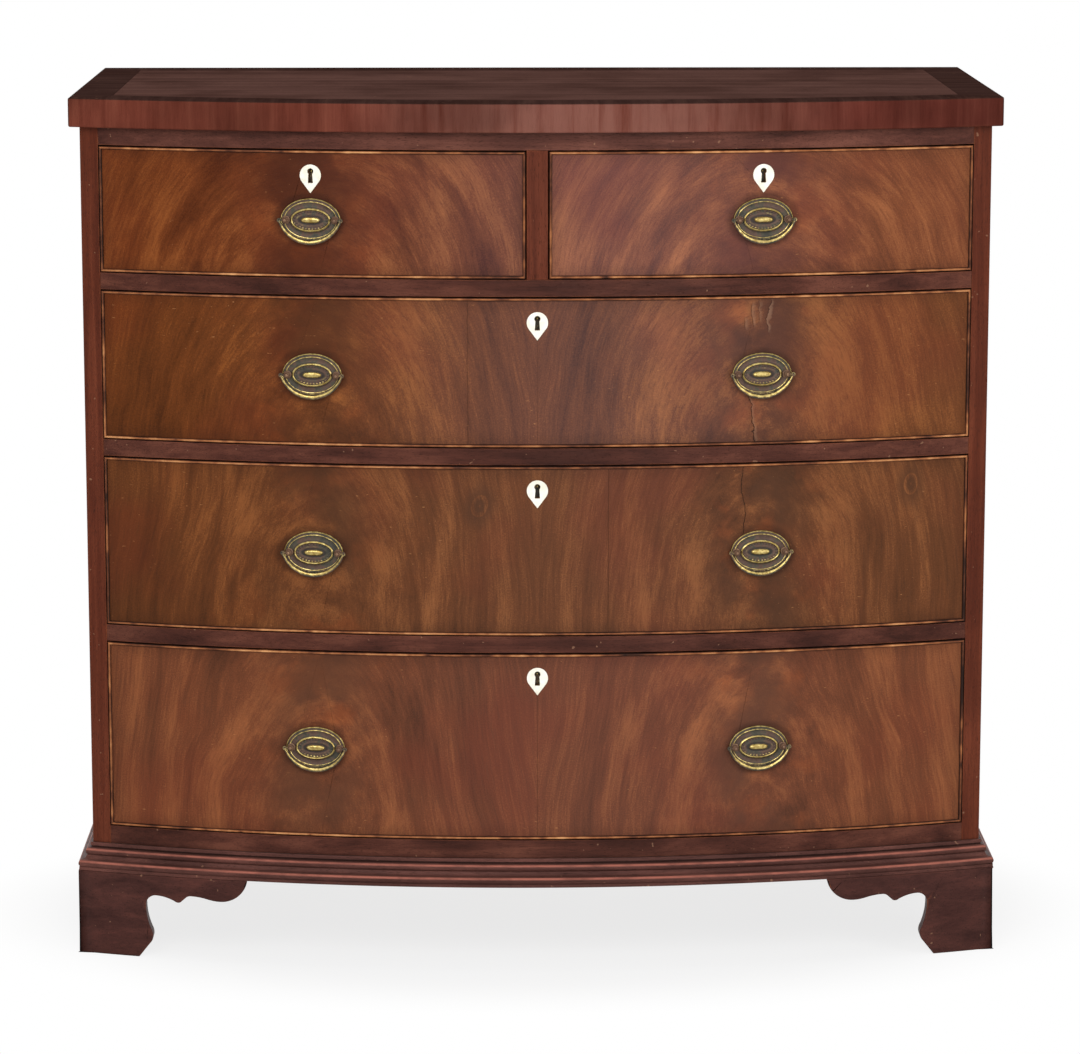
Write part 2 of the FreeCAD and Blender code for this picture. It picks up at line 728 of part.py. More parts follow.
def make_post(sign):
    """Post with a collar and a ball head that is bored for the bail's pin."""
    x = f"{sign}Sizes.post_pitch / 2"
    stand = "Sizes.post_stand"
    shaft = peg("post_shaft", "Sizes.post_shaft_radius",
                f"{stand} + Sizes.front_thickness + Sizes.post_tail", x, f"-{stand}", "0")
    collar = peg("post_collar", "Sizes.post_collar_radius", "Sizes.post_collar_proud", x,
                 "-Sizes.plate_thickness - Sizes.post_collar_proud", "0")
    ball = put(bind(doc.addObject("Part::Sphere", "post_ball"), Radius="Sizes.post_ball_radius"),
               x, f"-{stand}", "0")
    bore = cross_peg("post_bore", "Sizes.pin_radius + Sizes.pin_clearance",
                     "4 * Sizes.post_ball_radius", f"{x} - 2 * Sizes.post_ball_radius",
                     f"-{stand}", "0")
    return cut("post", fuse("post_whole", shaft, collar, ball), bore)


def make_nut(sign):
    """Nut on the tail of a post, inside the drawer."""
    x = f"{sign}Sizes.post_pitch / 2"
    y = "Sizes.front_thickness + Sizes.seat_clearance"
    disc = peg("nut_disc", "Sizes.nut_radius", "Sizes.nut_thickness", x, y, "0")
    bore = peg("nut_bore", "Sizes.post_shaft_radius + Sizes.fit_clearance",
               "Sizes.nut_thickness", x, y, "0")
    return cut("nut", disc, bore)


def make_bail():
    """Bail: a crescent, thicker in the middle, with an eye and a pin at each end."""
    half = "Places.bail_half_width"
    inner_half = "(Places.bail_half_width - Sizes.bail_end)"
    inner_drop = "(Sizes.bail_drop - Sizes.bail_middle)"
    outer_radius = f"({half} ^ 2 + Sizes.bail_drop ^ 2) / (2 * Sizes.bail_drop)"
    inner_radius = f"({inner_half} ^ 2 + {inner_drop} ^ 2) / (2 * {inner_drop})"
    body = padded("bail_bow", "XZ_Plane", [
        (f"-{half}", "0", outer_radius, 1),
        ("0", "-Sizes.bail_drop", outer_radius, 1),
        (half, "0"),
        (inner_half, "0", inner_radius, -1),
        ("0", f"-{inner_drop}", inner_radius, -1),
        (f"-{inner_half}", "0"),
    ], "Sizes.bail_thickness")
    doc.recompute()
    pad = body.Tip
    curved = [f"Edge{number}" for number, edge in enumerate(pad.Shape.Edges, start=1)
              if isinstance(edge.Curve, Part.Circle)]
    rounded = body.newObject("PartDesign::Fillet", "bail_rounding")
    rounded.Base = (pad, curved)
    thinner = "min(Sizes.bail_end; Sizes.bail_thickness)"
    bind(rounded, Radius=f"min(Sizes.bail_round; {thinner} * Sizes.bail_round_share)")
    pieces = [body]
    eye_x = f"({half} - Sizes.bail_end / 2)"
    reach = "(Sizes.post_pitch / 2 - Sizes.pin_reach)"
    for sign in ("-", ""):
        pieces.append(peg("bail_eye", "Sizes.eye_radius", "Sizes.eye_thickness",
                          f"{sign}{eye_x}", "-Sizes.eye_thickness / 2", "0"))
        low_x = f"-{eye_x}" if sign == "-" else reach
        pieces.append(cross_peg("bail_pin", "Sizes.pin_radius", f"{eye_x} - {reach}", low_x,
                                "0", "0"))
    return put(fuse("bail_whole", *pieces), "0", "-Sizes.post_stand", "0")


# ---------------------------------------------------------------- keyholes and locks

def keyhole(depth, y):
    """Cutter for a keyhole, from y inwards; the escutcheon's middle is its origin."""
    up = "(Sizes.escutcheon_tip / 2 - Sizes.escutcheon_radius / 2 + Sizes.keyhole_rise)"
    foot = f"{up} - Sizes.keyhole_length"
    round_part = peg("keyhole_round", "Sizes.keyhole_radius", depth, "0", y, up)
    slot = padded("keyhole_slot", "XZ_Plane", [
        ("-Sizes.keyhole_neck / 2", up),
        ("-Sizes.keyhole_width / 2", foot),
        ("Sizes.keyhole_width / 2", foot),
        ("Sizes.keyhole_neck / 2", up),
    ], f"2 * ({depth} + {y})")
    return fuse("keyhole", round_part, slot)


def make_escutcheon():
    """Bone keyhole plate: a round that runs down to a point, let into the drawer front."""
    radius = "Sizes.escutcheon_radius"
    tip = "Sizes.escutcheon_tip"
    centre = f"({tip} / 2 - {radius} / 2)"
    side_x = f"{radius} * sqrt(1 - ({radius} / {tip}) ^ 2)"
    side_z = f"{centre} - {radius} ^ 2 / {tip}"
    shape = padded("escutcheon_drop_shape", "XZ_Plane", [
        ("0", f"{centre} - {tip}"),
        (side_x, side_z, radius, 1),
        ("0", f"{centre} + {radius}", radius, 1),
        (f"-({side_x})", side_z),
    ], "Sizes.escutcheon_thickness")
    return put(shape, "0", "Sizes.escutcheon_thickness / 2 - Sizes.escutcheon_proud", "0")


def lock_block(name, drawer_top, behind):
    """Lock case below the top edge of the drawer front, or its recess, which runs on behind."""
    return block(name, "-Sizes.lock_width / 2", "Sizes.front_thickness - Sizes.lock_thickness",
                 f"{drawer_top} - Sizes.lock_height", "Sizes.lock_width",
                 f"Sizes.lock_thickness + {behind}", "Sizes.lock_height")


def bolt_block(name, room, drawer_top, height):
    """Lock bolt, or with some room the channel that it slides in."""
    return block(name, f"-Sizes.bolt_width / 2 - {room}",
                 f"Sizes.front_thickness - Sizes.bolt_inset - Sizes.bolt_thickness / 2 - {room}",
                 f"{drawer_top} - {height} - {room}", f"Sizes.bolt_width + 2 * {room}",
                 f"Sizes.bolt_thickness + 2 * {room}", f"{height} + {room}")


# ---------------------------------------------------------------- drawers

def make_drawer(name, low_x, width, low_z, height, key_x, handle_xs, handle_drop):
    """One drawer: front, box, bottom, beads, escutcheon, brassware, bolt and bails."""
    gap = "Sizes.drawer_gap"
    x = f"{low_x} + {gap}"
    z = f"{low_z} + {gap}"
    length = f"({width} - 2 * {gap})"
    rise = f"({height} - 2 * {gap})"
    inner_radius = f"{RADIUS} - Sizes.front_thickness"
    lining = "Sizes.lining_thickness"

    # front blank
    blank = block(f"{name}_blank", x, "Places.front_y", z, length,
                  "Places.drawer_back_y - Places.front_y", rise)
    solid = common(f"{name}_bow", blank, drum(f"{name}_face", RADIUS, z, rise))
    slab = cut(f"{name}_slab", solid, drum(f"{name}_inside", inner_radius, z, rise))

    # cock beads: two bowed lengths and two uprights between them
    width_of_bead = "Sizes.bead_width"
    strips = {
        "bottom": (x, z, length, width_of_bead),
        "top": (x, f"{z} + {rise} - {width_of_bead}", length, width_of_bead),
        "left": (x, f"{z} + {width_of_bead}", width_of_bead, f"{rise} - 2 * {width_of_bead}"),
        "right": (f"{x} + {length} - {width_of_bead}", f"{z} + {width_of_bead}", width_of_bead,
                  f"{rise} - 2 * {width_of_bead}"),
    }
    beads = []
    for place, (bead_x, bead_z, bead_length, bead_height) in strips.items():
        strip = bowed(f"{name}_bead_{place}", bead_x, bead_z, bead_length, bead_height,
                      "Places.back_y", f"{RADIUS} + Sizes.bead_proud")
        behind = drum("bead_back", f"{RADIUS} + Sizes.bead_proud - Sizes.bead_depth", bead_z,
                      bead_height)
        beads.append(cut(f"{name}_bead_{place}", strip, behind))
    keep(f"{name}_cock_bead", group(f"{name}_cock_bead", *beads))

    # bottom board, tongued into the sides and the front
    side_low = f"{low_z} + Sizes.slide_clearance"
    tongue = "Sizes.bottom_tongue"
    bottom_z = f"{side_low} + Sizes.bottom_lift"
    bottom = bowed(f"{name}_bottom", f"{x} + {lining} - {tongue}", bottom_z,
                   f"{length} - 2 * {lining} + 2 * {tongue}", "Sizes.bottom_thickness",
                   "Places.drawer_back_y", f"{inner_radius} + {tongue}")
    keep(f"{name}_bottom", bottom)

    # sides and back
    side_height = f"({low_z} + {height} - {gap} - Sizes.lining_drop - ({side_low}))"
    walls = []
    for side, wall_x in (("left", x), ("right", f"{x} + {length} - {lining}")):
        wall = bowed(f"{name}_side_{side}", wall_x, side_low, lining, side_height,
                     "Places.drawer_back_y", inner_radius)
        walls.append(cut(f"{name}_side_{side}", wall, bottom))
    back_z = f"{bottom_z} + Sizes.bottom_thickness"
    walls.append(block(f"{name}_back", f"{x} + {lining}", f"Places.drawer_back_y - {lining}",
                       back_z, f"{length} - 2 * {lining}", lining,
                       f"{side_low} + {side_height} - Sizes.back_drop - ({back_z})"))
    keep(f"{name}_box", group(f"{name}_box", *walls))

    # escutcheon and lock
    key_z = f"{low_z} + {height} - Sizes.escutcheon_drop"
    edge = f"(Sizes.escutcheon_drop - {gap})"
    through = "2 * Sizes.front_thickness"
    plate = cut("escutcheon", make_escutcheon(), keyhole(through, "-Sizes.front_thickness"))
    keep(f"{name}_escutcheon", on_front(plate, key_x, key_z))
    inlay = on_front(make_escutcheon(), key_x, key_z)
    key_way = on_front(keyhole(through, "-Sizes.front_thickness"), key_x, key_z)
    recess = on_front(lock_block("lock_recess", edge, SPARE), key_x, key_z)
    channel = bolt_block("bolt_channel", "Sizes.bolt_clearance", edge, "Sizes.bolt_height")
    case = cut("lock_case", lock_block("lock_solid", edge, "0"), channel,
               keyhole("Sizes.front_thickness - Sizes.bolt_inset", "0"))
    fittings = [on_front(case, key_x, key_z)]
    bolt = bolt_block("bolt", "0", edge, "Sizes.bolt_height")
    keep(f"{name}_lock_bolt", on_front(bolt, key_x, key_z))

    # handles
    handle_z = f"{low_z} + {height} / 2 - {handle_drop}"
    holes = []
    for side, handle_x in handle_xs.items():
        pieces = [make_plate()]
        for sign in ("-", ""):
            pieces += [make_post(sign), make_nut(sign)]
            hole = peg("post_hole", "Sizes.post_shaft_radius + Sizes.hole_clearance",
                       f"2 * {through}", f"{sign}Sizes.post_pitch / 2", f"-{through}", "0")
            holes.append(on_front(hole, handle_x, handle_z))
        fittings += [on_front(piece, handle_x, handle_z) for piece in pieces]
        label = f"{name}_bail{side}"
        keep(label, on_front(make_bail(), handle_x, handle_z))
    keep(f"{name}_brassware", group(f"{name}_brassware", *fittings))
    keep(f"{name}_front", cut(f"{name}_front", slab, *beads, bottom, inlay, key_way, recess,
                              *holes))


def make_drawers():
    """Two short drawers over three long ones."""
    half = "Places.inner_width / 2"
    centre = "Places.short_centre"
    make_drawer("short_left", f"-{half}", "Places.short_width", "Places.short_z",
                "Sizes.short_height", f"-{centre}", {"": f"-{centre}"},
                "Sizes.handle_drop_short")
    make_drawer("short_right", "Sizes.divider_width / 2", "Places.short_width",
                "Places.short_z", "Sizes.short_height", centre, {"": centre},
                "Sizes.handle_drop_short")
    for level in ("upper", "middle", "lower"):
        make_drawer(f"long_{level}", f"-{half}", "Places.inner_width", f"Places.long_{level}_z",
                    f"Sizes.long_{level}_height", "0",
                    {"_left": f"-{centre}", "_right": centre}, "Sizes.handle_drop_long")


make_top()
make_sides()
make_rails()
make_back()
make_dust_boards_and_runners()
make_moulding()
make_feet()
make_drawers()
doc.recompute()


# ---------------------------------------------------------------- checks and files

for item in doc.Objects:
    if "Invalid" in item.State or "Error" in item.State:
        raise RuntimeError(f"{item.Name} ({item.Label}) failed: {item.State}")
for label, item in nodes.items():
    shape = item.Shape
    if shape.isNull() or not shape.isValid() or not shape.Solids:
        raise RuntimeError(f"{label} has no valid solid")
for label, item in nodes.items():
    item.Shape.exportStep(f"parts/{label}.step")
    print(label, len(item.Shape.Solids), "solids", round(item.Shape.Volume / 1000, 2), "cm3")
print(len(nodes), "sub-parts")
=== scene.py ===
"""Finishes, beads, brass mounts, light and camera for a bow front chest of drawers.

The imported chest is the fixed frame. Lengths are in metres, Z is up, the bow faces -Y and +X is
the viewer's right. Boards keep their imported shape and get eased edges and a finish. Beads and
brassware are made here in finer detail, on the same hinges, screws and faces.
"""

import json
import logging
import math
import random
from dataclasses import dataclass, field
from enum import Enum
from typing import Optional, Sequence, Union

import bmesh
import bpy
import numpy as np
from mathutils import Matrix, Vector


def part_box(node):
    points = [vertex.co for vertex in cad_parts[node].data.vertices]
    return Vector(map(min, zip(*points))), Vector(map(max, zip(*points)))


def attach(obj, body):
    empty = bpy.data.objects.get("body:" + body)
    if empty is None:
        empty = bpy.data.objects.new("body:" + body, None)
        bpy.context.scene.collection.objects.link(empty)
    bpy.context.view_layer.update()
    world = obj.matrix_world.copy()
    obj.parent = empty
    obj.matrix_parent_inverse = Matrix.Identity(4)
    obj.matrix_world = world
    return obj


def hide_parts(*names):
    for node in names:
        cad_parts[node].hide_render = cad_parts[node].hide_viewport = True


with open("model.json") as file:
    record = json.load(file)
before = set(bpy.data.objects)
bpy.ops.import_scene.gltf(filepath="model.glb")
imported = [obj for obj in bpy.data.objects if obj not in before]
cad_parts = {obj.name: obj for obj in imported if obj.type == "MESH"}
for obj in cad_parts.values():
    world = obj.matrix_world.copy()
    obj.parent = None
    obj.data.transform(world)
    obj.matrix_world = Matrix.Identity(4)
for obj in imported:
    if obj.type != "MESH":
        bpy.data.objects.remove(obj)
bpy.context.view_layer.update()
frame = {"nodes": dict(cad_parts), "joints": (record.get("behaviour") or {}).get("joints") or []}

MM = 0.001
BOW_RADIUS = 1.64
LOG = logging.getLogger("chest")
Socket = bpy.types.NodeSocket
Colour = tuple[float, float, float]
Value = Union[float, Colour, Socket, "Amount"]
WearAndLight = Union[float, list[float]]


def srgb(red: int, green: int, blue: int) -> Colour:
    """Turn a colour as it looks on screen into the linear colour that shaders use.

    Args:
        red: Red, 0 to 255.
        green: Green, 0 to 255.
        blue: Blue, 0 to 255.

    Returns:
        The linear colour.
    """
    parts = (channel / 255 for channel in (red, green, blue))
    return tuple(p / 12.92 if p <= 0.04045 else ((p + 0.055) / 1.055) ** 2.4 for p in parts)


# ---------------------------------------------------------------- node graphs

class Amount:
    """A number that varies over a surface. Sums and products of amounts become math nodes."""

    def __init__(self, graph: "Graph", socket: Socket) -> None:
        """Wrap the output socket of a node of that graph."""
        self.graph = graph
        self.socket = socket

    def _math(self, operation: str, *others: Value) -> "Amount":
        """Feed this amount and others to a math node."""
        return self.graph.math(operation, self, *others)

    def __add__(self, other: Value) -> "Amount":
        """Sum."""
        return self._math("ADD", other)

    __radd__ = __add__

    def __sub__(self, other: Value) -> "Amount":
        """Difference."""
        return self._math("SUBTRACT", other)

    def __rsub__(self, other: Value) -> "Amount":
        """Difference with this amount taken away."""
        return self.graph.math("SUBTRACT", other, self)

    def __mul__(self, other: Value) -> "Amount":
        """Product."""
        return self._math("MULTIPLY", other)

    __rmul__ = __mul__

    def __truediv__(self, other: Value) -> "Amount":
        """Quotient."""
        return self._math("DIVIDE", other)

    def __abs__(self) -> "Amount":
        """Size without sign."""
        return self._math("ABSOLUTE")

    def squared(self) -> "Amount":
        """This amount times itself."""
        return self * self

    def root(self) -> "Amount":
        """Square root."""
        return self._math("SQRT")

    def least(self, other: Value) -> "Amount":
        """The smaller of two amounts."""
        return self._math("MINIMUM", other)

    def most(self, other: Value) -> "Amount":
        """The larger of two amounts."""
        return self._math("MAXIMUM", other)

    def over(self, limit: float) -> "Amount":
        """1 where the amount is over a limit, else 0."""
        return self._math("GREATER_THAN", limit)

    def fade(self, start: float, end: float) -> "Amount":
        """Go smoothly from 0 to 1 as the amount goes from start to end."""
        node = self.graph.node("ShaderNodeMapRange", interpolation_type="SMOOTHSTEP")
        self.graph.feed(node.inputs["Value"], self)
        node.inputs["From Min"].default_value = min(start, end)
        node.inputs["From Max"].default_value = max(start, end)
        node.inputs["To Min"].default_value = 0.0 if start < end else 1.0
        node.inputs["To Max"].default_value = 1.0 if start < end else 0.0
        return Amount(self.graph, node.outputs["Result"])


class Graph:
    """Node tree of one material, with a short call for each kind of node that finishes use."""

    def __init__(self, name: str) -> None:
        """Make a material of that name."""
        self.material = bpy.data.materials.new(name)
        self.material.use_nodes = True
        self.tree = self.material.node_tree
        self.shader = self.tree.nodes["Principled BSDF"]
        coordinates = self.node("ShaderNodeTexCoord")
        self.place = coordinates.outputs["Object"]
        self.facing = coordinates.outputs["Normal"]

    def node(self, kind: str, **settings: object) -> bpy.types.Node:
        """Add a node and set its properties."""
        made = self.tree.nodes.new(kind)
        for key, value in settings.items():
            setattr(made, key, value)
        return made

    def feed(self, socket: Socket, value: Value) -> None:
        """Link a socket to an amount or an output, or set its own value."""
        if isinstance(value, Amount):
            value = value.socket
        if isinstance(value, bpy.types.NodeSocket):
            self.tree.links.new(value, socket)
        elif isinstance(value, tuple):
            socket.default_value = (*value, 1.0) if len(socket.default_value) == 4 else value
        else:
            socket.default_value = value

    def math(self, operation: str, *values: Value) -> Amount:
        """Add a math node."""
        made = self.node("ShaderNodeMath", operation=operation)
        for socket, value in zip(made.inputs, values):
            self.feed(socket, value)
        return Amount(self, made.outputs[0])

    def split(self, vector: Socket) -> tuple[Amount, Amount, Amount]:
        """The three parts of a vector."""
        made = self.node("ShaderNodeSeparateXYZ")
        self.feed(made.inputs[0], vector)
        x, y, z = (Amount(self, made.outputs[number]) for number in range(3))
        return x, y, z

    def join(self, x: Value, y: Value, z: Value) -> Socket:
        """A vector from three parts."""
        made = self.node("ShaderNodeCombineXYZ")
        for socket, value in zip(made.inputs, (x, y, z)):
            self.feed(socket, value)
        return made.outputs[0]

    def noise(self, where: Socket, scale: float = 1.0, detail: float = 2.0,
              rough: float = 0.5, twist: float = 0.0) -> Amount:
        """Smooth noise about 0.5.

        Args:
            where: Vector that it is read at.
            scale: Features to the unit of that vector.
            detail: Finer layers that are added.
            rough: Share of each finer layer.
            twist: How far it is stirred.

        Returns:
            The noise.
        """
        made = self.node("ShaderNodeTexNoise")
        self.feed(made.inputs["Vector"], where)
        for word, value in (("Scale", scale), ("Detail", detail), ("Roughness", rough),
                            ("Distortion", twist)):
            made.inputs[word].default_value = value
        return Amount(self, made.outputs[0])

    def attribute(self, name: str) -> Amount:
        """A number that the mesh carries at its points."""
        made = self.node("ShaderNodeAttribute", attribute_name=name)
        return Amount(self, made.outputs["Fac"])

    def ramp(self, amount: Amount, *stops: tuple[float, Colour]) -> Socket:
        """Colour read from a row of stops."""
        made = self.node("ShaderNodeValToRGB")
        elements = made.color_ramp.elements
        while len(elements) < len(stops):
            elements.new(1.0)
        for element, (position, colour) in zip(elements, stops):
            element.position = position
            element.color = (*colour, 1.0)
        self.feed(made.inputs[0], amount)
        return made.outputs[0]

    def profile(self, amount: Amount, span: float, *stops: tuple[float, float]) -> Amount:
        """Height read from a row of stops along a span.

        Args:
            amount: Distance along the span.
            span: The distance at the end of the row, which is where the last stop may lie.
            stops: Pairs of a distance and the height there, 0 to 1.

        Returns:
            The height.
        """
        greys = [(distance / span, (height,) * 3) for distance, height in stops]
        return Amount(self, self.ramp(amount / span, *greys))

    def mix(self, factor: Value, first: Value, second: Value, mode: str = "MIX") -> Socket:
        """Two colours mixed."""
        made = self.node("ShaderNodeMix", data_type="RGBA", blend_type=mode)
        self.feed(made.inputs[0], factor)
        self.feed(made.inputs[6], first)
        self.feed(made.inputs[7], second)
        return made.outputs[2]

    def edges(self, width: float) -> Amount:
        """1 along the edges of the piece, 0 on its faces."""
        soft = self.node("ShaderNodeBevel", samples=4)
        soft.inputs["Radius"].default_value = width
        plain = self.node("ShaderNodeNewGeometry")
        dot = self.node("ShaderNodeVectorMath", operation="DOT_PRODUCT")
        self.feed(dot.inputs[0], soft.outputs["Normal"])
        self.feed(dot.inputs[1], plain.outputs["Normal"])
        return (1.0 - Amount(self, dot.outputs["Value"])).fade(0.02, 0.22)

    def crevices(self, reach: float) -> Amount:
        """1 in inner corners and gaps, 0 in the open."""
        made = self.node("ShaderNodeAmbientOcclusion", samples=6)
        made.inputs["Distance"].default_value = reach
        return 1.0 - Amount(self, made.outputs["AO"])

    def surface(self, colour: Value, roughness: Value, height: Optional[Amount] = None,
                depth: float = 0.0, metallic: Value = 0.0,
                **fixed: float) -> bpy.types.Material:
        """Feed the shader and give the material.

        Args:
            colour: Base colour.
            roughness: Roughness.
            height: Relief, 0 to 1, or None for a smooth face.
            depth: What a height of 1 stands for, in metres.
            metallic: Share of bare metal.
            fixed: Other sockets by their name in lower case, such as coat_weight, each with
                one value for the whole surface.

        Returns:
            The material.
        """
        self.feed(self.shader.inputs["Base Color"], colour)
        self.feed(self.shader.inputs["Roughness"], roughness)
        self.feed(self.shader.inputs["Metallic"], metallic)
        if height is not None:
            bump = self.node("ShaderNodeBump")
            bump.inputs["Distance"].default_value = depth
            self.feed(bump.inputs["Height"], height)
            self.feed(self.shader.inputs["Normal"], bump.outputs[0])
        sockets = {socket.name.lower().replace(" ", "_"): socket for socket in self.shader.inputs}
        for word, value in fixed.items():
            sockets[word].default_value = value
        return self.material


# ---------------------------------------------------------------- finishes

class Way(Enum):
    """Axis that the grain of a board follows. The value orders x, y and z, along first."""

    ACROSS = (0, 1, 2)
    DEEP = (1, 0, 2)
    UP = (2, 0, 1)


@dataclass(frozen=True)
class Grain:
    """How wide and long the marks of a wood are, in metres."""

    streak: float = 0.012
    streak_length: float = 0.35
    line: float = 0.0016
    line_length: float = 0.06
    pore: float = 0.0006
    pore_length: float = 0.006

    def layers(self, graph: Graph, along: Value, side: Value,
               through: Value) -> tuple[Amount, Amount, Amount]:
        """Make the layers of the grain.

        Args:
            graph: Graph that they go in.
            along: Metres along the grain.
            side: Metres across the grain.
            through: Metres across it the other way.

        Returns:
            Broad streaks, fine lines and pores. Each is a noise, and pores are 0 or more.
        """
        def stretched(length: float, width: float, shift: float) -> Socket:
            """Where a mark of that length and width is read."""
            return graph.join(along / length + shift, side / width, through / width)

        streaks = graph.noise(stretched(self.streak_length, self.streak, 0.0), detail=4.0,
                              rough=0.6, twist=0.4)
        lines = graph.noise(stretched(self.line_length, self.line, 3.7), detail=3.0, rough=0.6)
        pores = graph.noise(stretched(self.pore_length, self.pore, 9.1), detail=1.0)
        return streaks, lines, pores.fade(0.58, 0.74)


PINE_GRAIN = Grain(0.014, 1.2, 0.0025, 0.2, 0.0008, 0.01)


@dataclass(frozen=True)
class Timber:
    """A solid wood, sawn or polished, with its grain through the whole board."""

    name: str
    way: Way
    dark: Colour
    mid: Colour
    light: Colour
    grain: Grain = Grain()
    worn: Optional[Colour] = None
    dirt_and_shade: Colour = srgb(28, 17, 13)
    roughness: float = 0.42
    gloss: float = 0.1
    relief: float = 0.00012
    contrast: float = 1.0
    drift: float = 0.0
    painted_light_and_dust: bool = False

    def material(self) -> bpy.types.Material:
        """Build the material."""
        graph = Graph(self.name)
        parts = graph.split(graph.place)
        along, side, through = (parts[number] for number in self.way.value)
        streaks, lines, pores = self.grain.layers(graph, along, side, through)
        tone = 0.5 + (streaks - 0.5) * self.contrast + (lines - 0.5) * 0.5
        slow = graph.noise(graph.join(along * 9.0, side * 16.0, through * 16.0), detail=4.0)
        tone = tone + (slow - 0.5) * self.drift
        colour = graph.ramp(tone, (0.12, self.dark), (0.5, self.mid), (0.88, self.light))
        blotch = graph.noise(graph.place, scale=9.0, detail=3.0)
        colour = graph.mix(blotch.fade(0.62, 0.3) * 0.35, colour, self.dark)
        colour = graph.mix(pores * 0.55, colour, self.dirt_and_shade)
        # painted shade: inner corners and gaps are darkened towards the same dark colour as the
        # pores
        colour = graph.mix(graph.crevices(0.012).fade(0.35, 0.95) * 0.75, colour, self.dirt_and_shade)
        scratched = graph.noise(graph.place, 42.0, 3.0).fade(0.36, 0.62)
        if self.worn:
            colour = graph.mix(graph.edges(0.0022) * scratched * 0.7, colour, self.worn)
        specks = graph.noise(graph.place, 170.0, 1.0).fade(0.75, 0.79)
        colour = graph.mix(specks * 0.45, colour, srgb(158, 118, 92))
        # painted highlight on the moulding's rounds where they face up and forward, painted shade
        # in its quirks and low in its cove, and dust on its top ledge, all read from the mesh's
        # attribute of wear and light
        if self.painted_light_and_dust:
            wear_and_light = graph.attribute("wear_and_light")
            colour = graph.mix(wear_and_light.fade(0.55, 1.0) * (scratched * 0.4 + 0.5), colour,
                               srgb(172, 104, 88))
            colour = graph.mix(wear_and_light.fade(0.3, 0.1) * 0.7, colour, self.dirt_and_shade)
            dusty = wear_and_light.fade(0.06, 0.0) * graph.noise(graph.place, 60.0, 4.0).fade(0.35, 0.6)
            colour = graph.mix(dusty * 0.6, colour, srgb(112, 98, 88))
        fresh = graph.noise(graph.place, scale=22.0, detail=3.0)
        roughness = self.roughness + (fresh - 0.5) * 0.22 + pores * 0.15
        height = lines * 0.5 - pores
        return graph.surface(colour, roughness, height, self.relief,
                             specular_ior_level=self.gloss)


@dataclass(frozen=True)
class Crack:
    """An old split or a joint that shows, top to bottom across a drawer front.

    lifted_highlight is how strong the painted highlight is on the veneer that stands up on its
    right, 0 to 1.
    """

    x: float
    top: float = 1.0
    foot: float = 0.0
    wander: float = 0.004
    width: float = 0.0007
    depth: float = 0.8
    lifted_highlight: float = 0.0


@dataclass(frozen=True)
class Spot:
    """A point of a drawer front, and where it lies in the figure of the veneer.

    reach and turn are its distance and direction from the root of the flame. aside is how far
    it lies beside a handle, and clear goes from near 0 at that handle to 1 away from it.
    seeded is where the drawer's own noise is read, drift and sway are its slow and its quicker
    wander, and shift makes the streaks differ from handle to handle.
    """

    graph: Graph
    x: Amount
    y: Amount
    z: Amount
    seeded: Socket
    drift: Amount
    sway: Amount
    aside: Amount
    reach: Amount
    turn: Amount
    shift: Amount
    clear: Amount

    def cloud(self, scale: float, detail: float = 2.0) -> Amount:
        """Noise that is as wide as it is high."""
        return self.graph.noise(self.seeded, scale=scale, detail=detail)

    def streaks(self, turns: float, reaches: float, detail: float, **more: float) -> Amount:
        """Noise that is drawn out along the arches."""
        where = self.graph.join(self.turn * turns, self.reach * reaches, self.shift)
        return self.graph.noise(where, detail=detail, **more)


